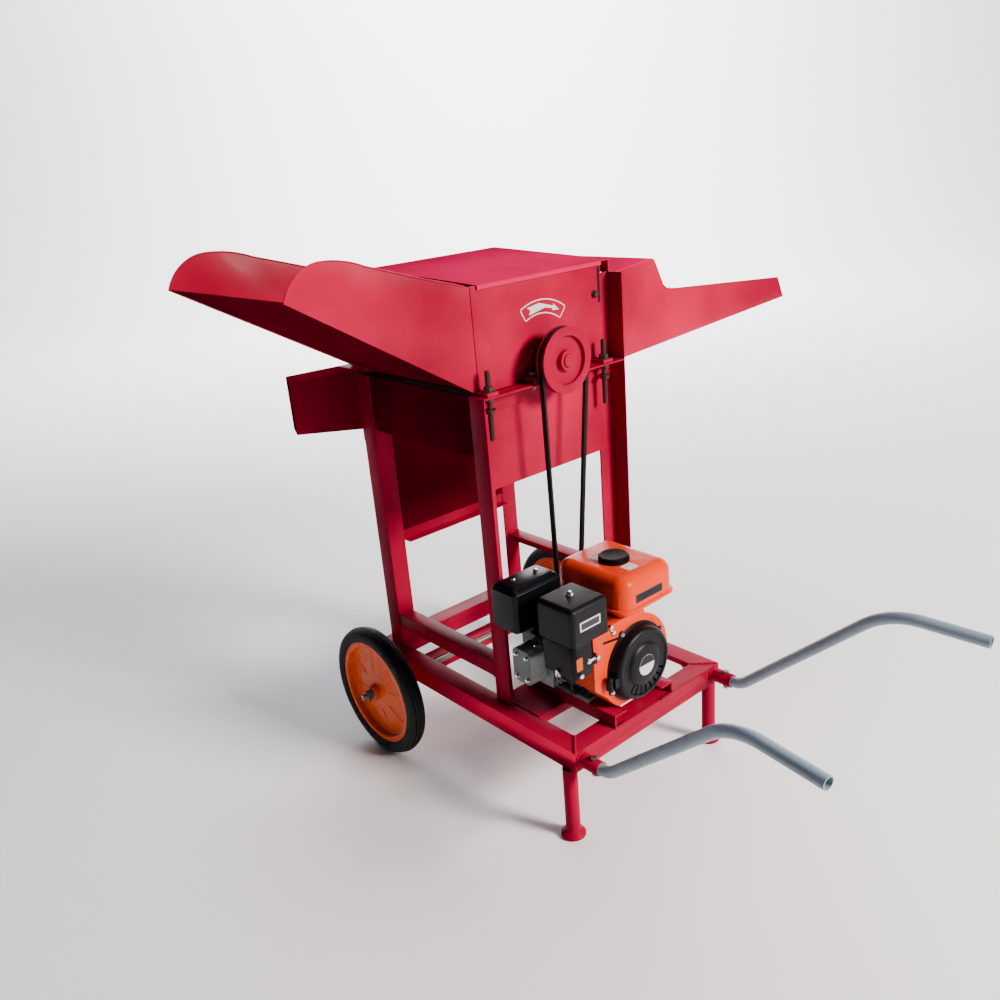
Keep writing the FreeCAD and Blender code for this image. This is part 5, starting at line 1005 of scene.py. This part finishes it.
# Air cleaner label, tag and choke box
# A bare pale-framed label on the cleaner, a bare orange tag on the cover below and the black box
# that carries the choke's linkage.
bare_plate("cleaner_label", "X", 723.8, 724.4, rounded(-184, 525, 31, 11, 1.5), white_print,
           "engine_screws")
bare_plate("cleaner_label_field", "X", 724.3, 724.6, rounded(-184, 525, 27.5, 7.5, 1.0), grey_print,
           "air_cleaner")
bare_plate("shield_tag", "X", 723.8, 724.4, rounded(-222, 440, 9, 15, 1.5), orange_print,
           "carburettor_shield")
choke_box = slab("X", 700, 722, rounded(-174, 431, 8.5, 12, 2))
on_chassis("choke_box", choke_box, black_moulding, "carburettor_shield", width_mm=1.2)

# Shroud
# Pressed orange sheet over the flywheel, with a slot for the control cable that rubber closes.
cable_slot = (-108.5, 444.0)
cable_slot_lean = -8.6
shroud_slot = slab("X", 706, 714, tilted(rounded(*cable_slot, 26.0, 3.0, 2.9), cable_slot, cable_slot_lean))
from_cad("fan_shroud", "fan_shroud_pressed", 2.5, orange_enamel, steps=3, cutters=[shroud_slot])
bare_plate("shroud_slot_grommet", "X", 708.4, 709.2,
           tilted(rounded(*cable_slot, 25.9, 2.9, 2.8), cable_slot, cable_slot_lean), belt_rubber,
           "drive_belt")

# Spark plug, breather and head bolts
# A moulded cap on a bright hexagon, a rubber breather hose from the rocker cover to the air
# cleaner, and bolts round the rocker cover.
plug_middle = (-184.0, 362.0)
plug_profile = [(630, 0), (630, 8), (633, 9.6), (638, 10.8), (639.5, 10.0), (641, 11), (642.5, 10.0),
                (644, 11), (645.5, 10.2), (647, 11), (660, 11), (662.6, 9), (663, 7), (663, 0)]
plug_cap = lathed("X", plug_middle, plug_profile, steps=48)
on_chassis("plug_cap", plug_cap, black_moulding, "spark_plug", "spark_plug")
plug_metal = joined([hex_head("X", 615, 9.0, plug_middle, 17.0, 1.5),
                     lathed("X", plug_middle, [(623, 0), (623, 7), (631, 6.4), (631, 0)], steps=32)])
on_chassis("plug_hexagon", plug_metal, bright_chrome, "engine_screws")
hose = cord([(578, -218, 426), (578, -218, 446), (590, -218, 458), (606, -216, 456), (616, -212, 464),
             (624, -208, 484)], radius_mm=6.0, smooth=True)
on_chassis("breather_hose", hose, belt_rubber, "plug_lead")
hose_clip = lathed("Z", (578, -218), [(431, 5.8), (431, 7.2), (436, 7.2), (436, 5.8)], steps=48)
rocker_bolts = [hex_head("Y", -250, -5.0, (z, x), 8.0, 0.8) for x in (551, 585) for z in (360, 416)]
on_chassis("rocker_bolts", joined(rocker_bolts + [hose_clip]), bright_chrome, "engine_screws")

# Wheels
# Solid rubber tyres with four grooves on pressed discs: a rolled rim, a dished web with eight
# pressed ribs and a welded hub tube, in orange enamel. Profiles are given for the far wheel.
axle_middle = (175.0, 92.5)
wheel_y = 340.0
tread = [(0, 175)]
half_tyre = [(15, 133), (15, 140), (19.6, 140.4), (21.8, 144), (22.4, 147.4), (21.9, 148.2),
             (22.8, 149.6), (23, 156), (22.2, 161), (21, 165), (18.4, 168.6), (14, 171.2), (13, 171.4),
             (12.4, 168.8), (10.6, 168.8), (10, 172.8), (5, 174.3), (4.4, 171.8), (2.6, 171.8),
             (2, 174.9)]
disc_profile = [(28, 8.1), (28, 20), (27.2, 21), (12.6, 21), (11, 22.6), (10, 26), (10, 44), (8.8, 49),
                (1.6, 112), (0.9, 118), (2.4, 123.4), (6, 125.6), (16, 126), (18, 128), (18, 139),
                (17, 140.4), (15.6, 140), (15.2, 133.2), (-15.2, 133.2), (-15.6, 140), (-17, 140.4),
                (-18, 139), (-18, 128), (-16, 126), (-3.5, 125.2), (-3.2, 118), (-1.6, 112), (5.8, 49),
                (7, 44), (7, 26), (6, 22.6), (4.4, 21), (-27.2, 21), (-28, 20), (-28, 8.1)]
mirrored_tyre = [(-u, r) for u, r in reversed(half_tyre)]

# The ribs lie on the dished web and lean with it.
rib_count = 8
rib_ring = 0.081
rib_first = 0.2
rib_from_middle = 5.4
rib_lean = math.atan2(8.2, 65.0)
rib_mesh = slab("Z", -0.9, 0.9, rounded(0, 0, 29, 4.2, 4.0))
rib_mesh.transform(Matrix.Rotation(rib_lean, 4, "Y") @ Matrix.Translation(-at(0, 0, 0)))
disc_rib = pattern_part("disc_rib", rib_mesh)
for prefix, side in (("near", -1), ("far", 1)):
    middle_y = side * wheel_y
    tyre_line = [(middle_y + u, r) for u, r in half_tyre + tread + mirrored_tyre]
    tyre_mesh = lathed("Y", axle_middle, tyre_line, steps=160)
    show(shaped(prefix + "_tyre_moulded", tyre_mesh, tyre_rubber), body_of_node(prefix + "_tyre"),
         slot_of[prefix + "_tyre"], prefix + "_tyre")
    disc_line = [(middle_y + side * u, r) for u, r in disc_profile]
    outwards = Matrix.Rotation(math.radians(-90 * side), 4, "X")
    web_middle = at(axle_middle[1], middle_y + side * rib_from_middle, axle_middle[0])
    ribs = repeated("ribs", ring_of_parts, {
        "Part": disc_rib, "Count": rib_count, "Radius": rib_ring, "First": rib_first,
        "Sweep": 2 * math.pi, "Finish": wheel_enamel}, Matrix.Translation(web_middle) @ outwards)
    disc_mesh = joined([lathed("Y", axle_middle, disc_line, steps=128), ribs])
    show(shaped(prefix + "_wheel_pressed", disc_mesh, wheel_enamel), body_of_node(prefix + "_wheel"),
         slot_of[prefix + "_wheel"], prefix + "_wheel")
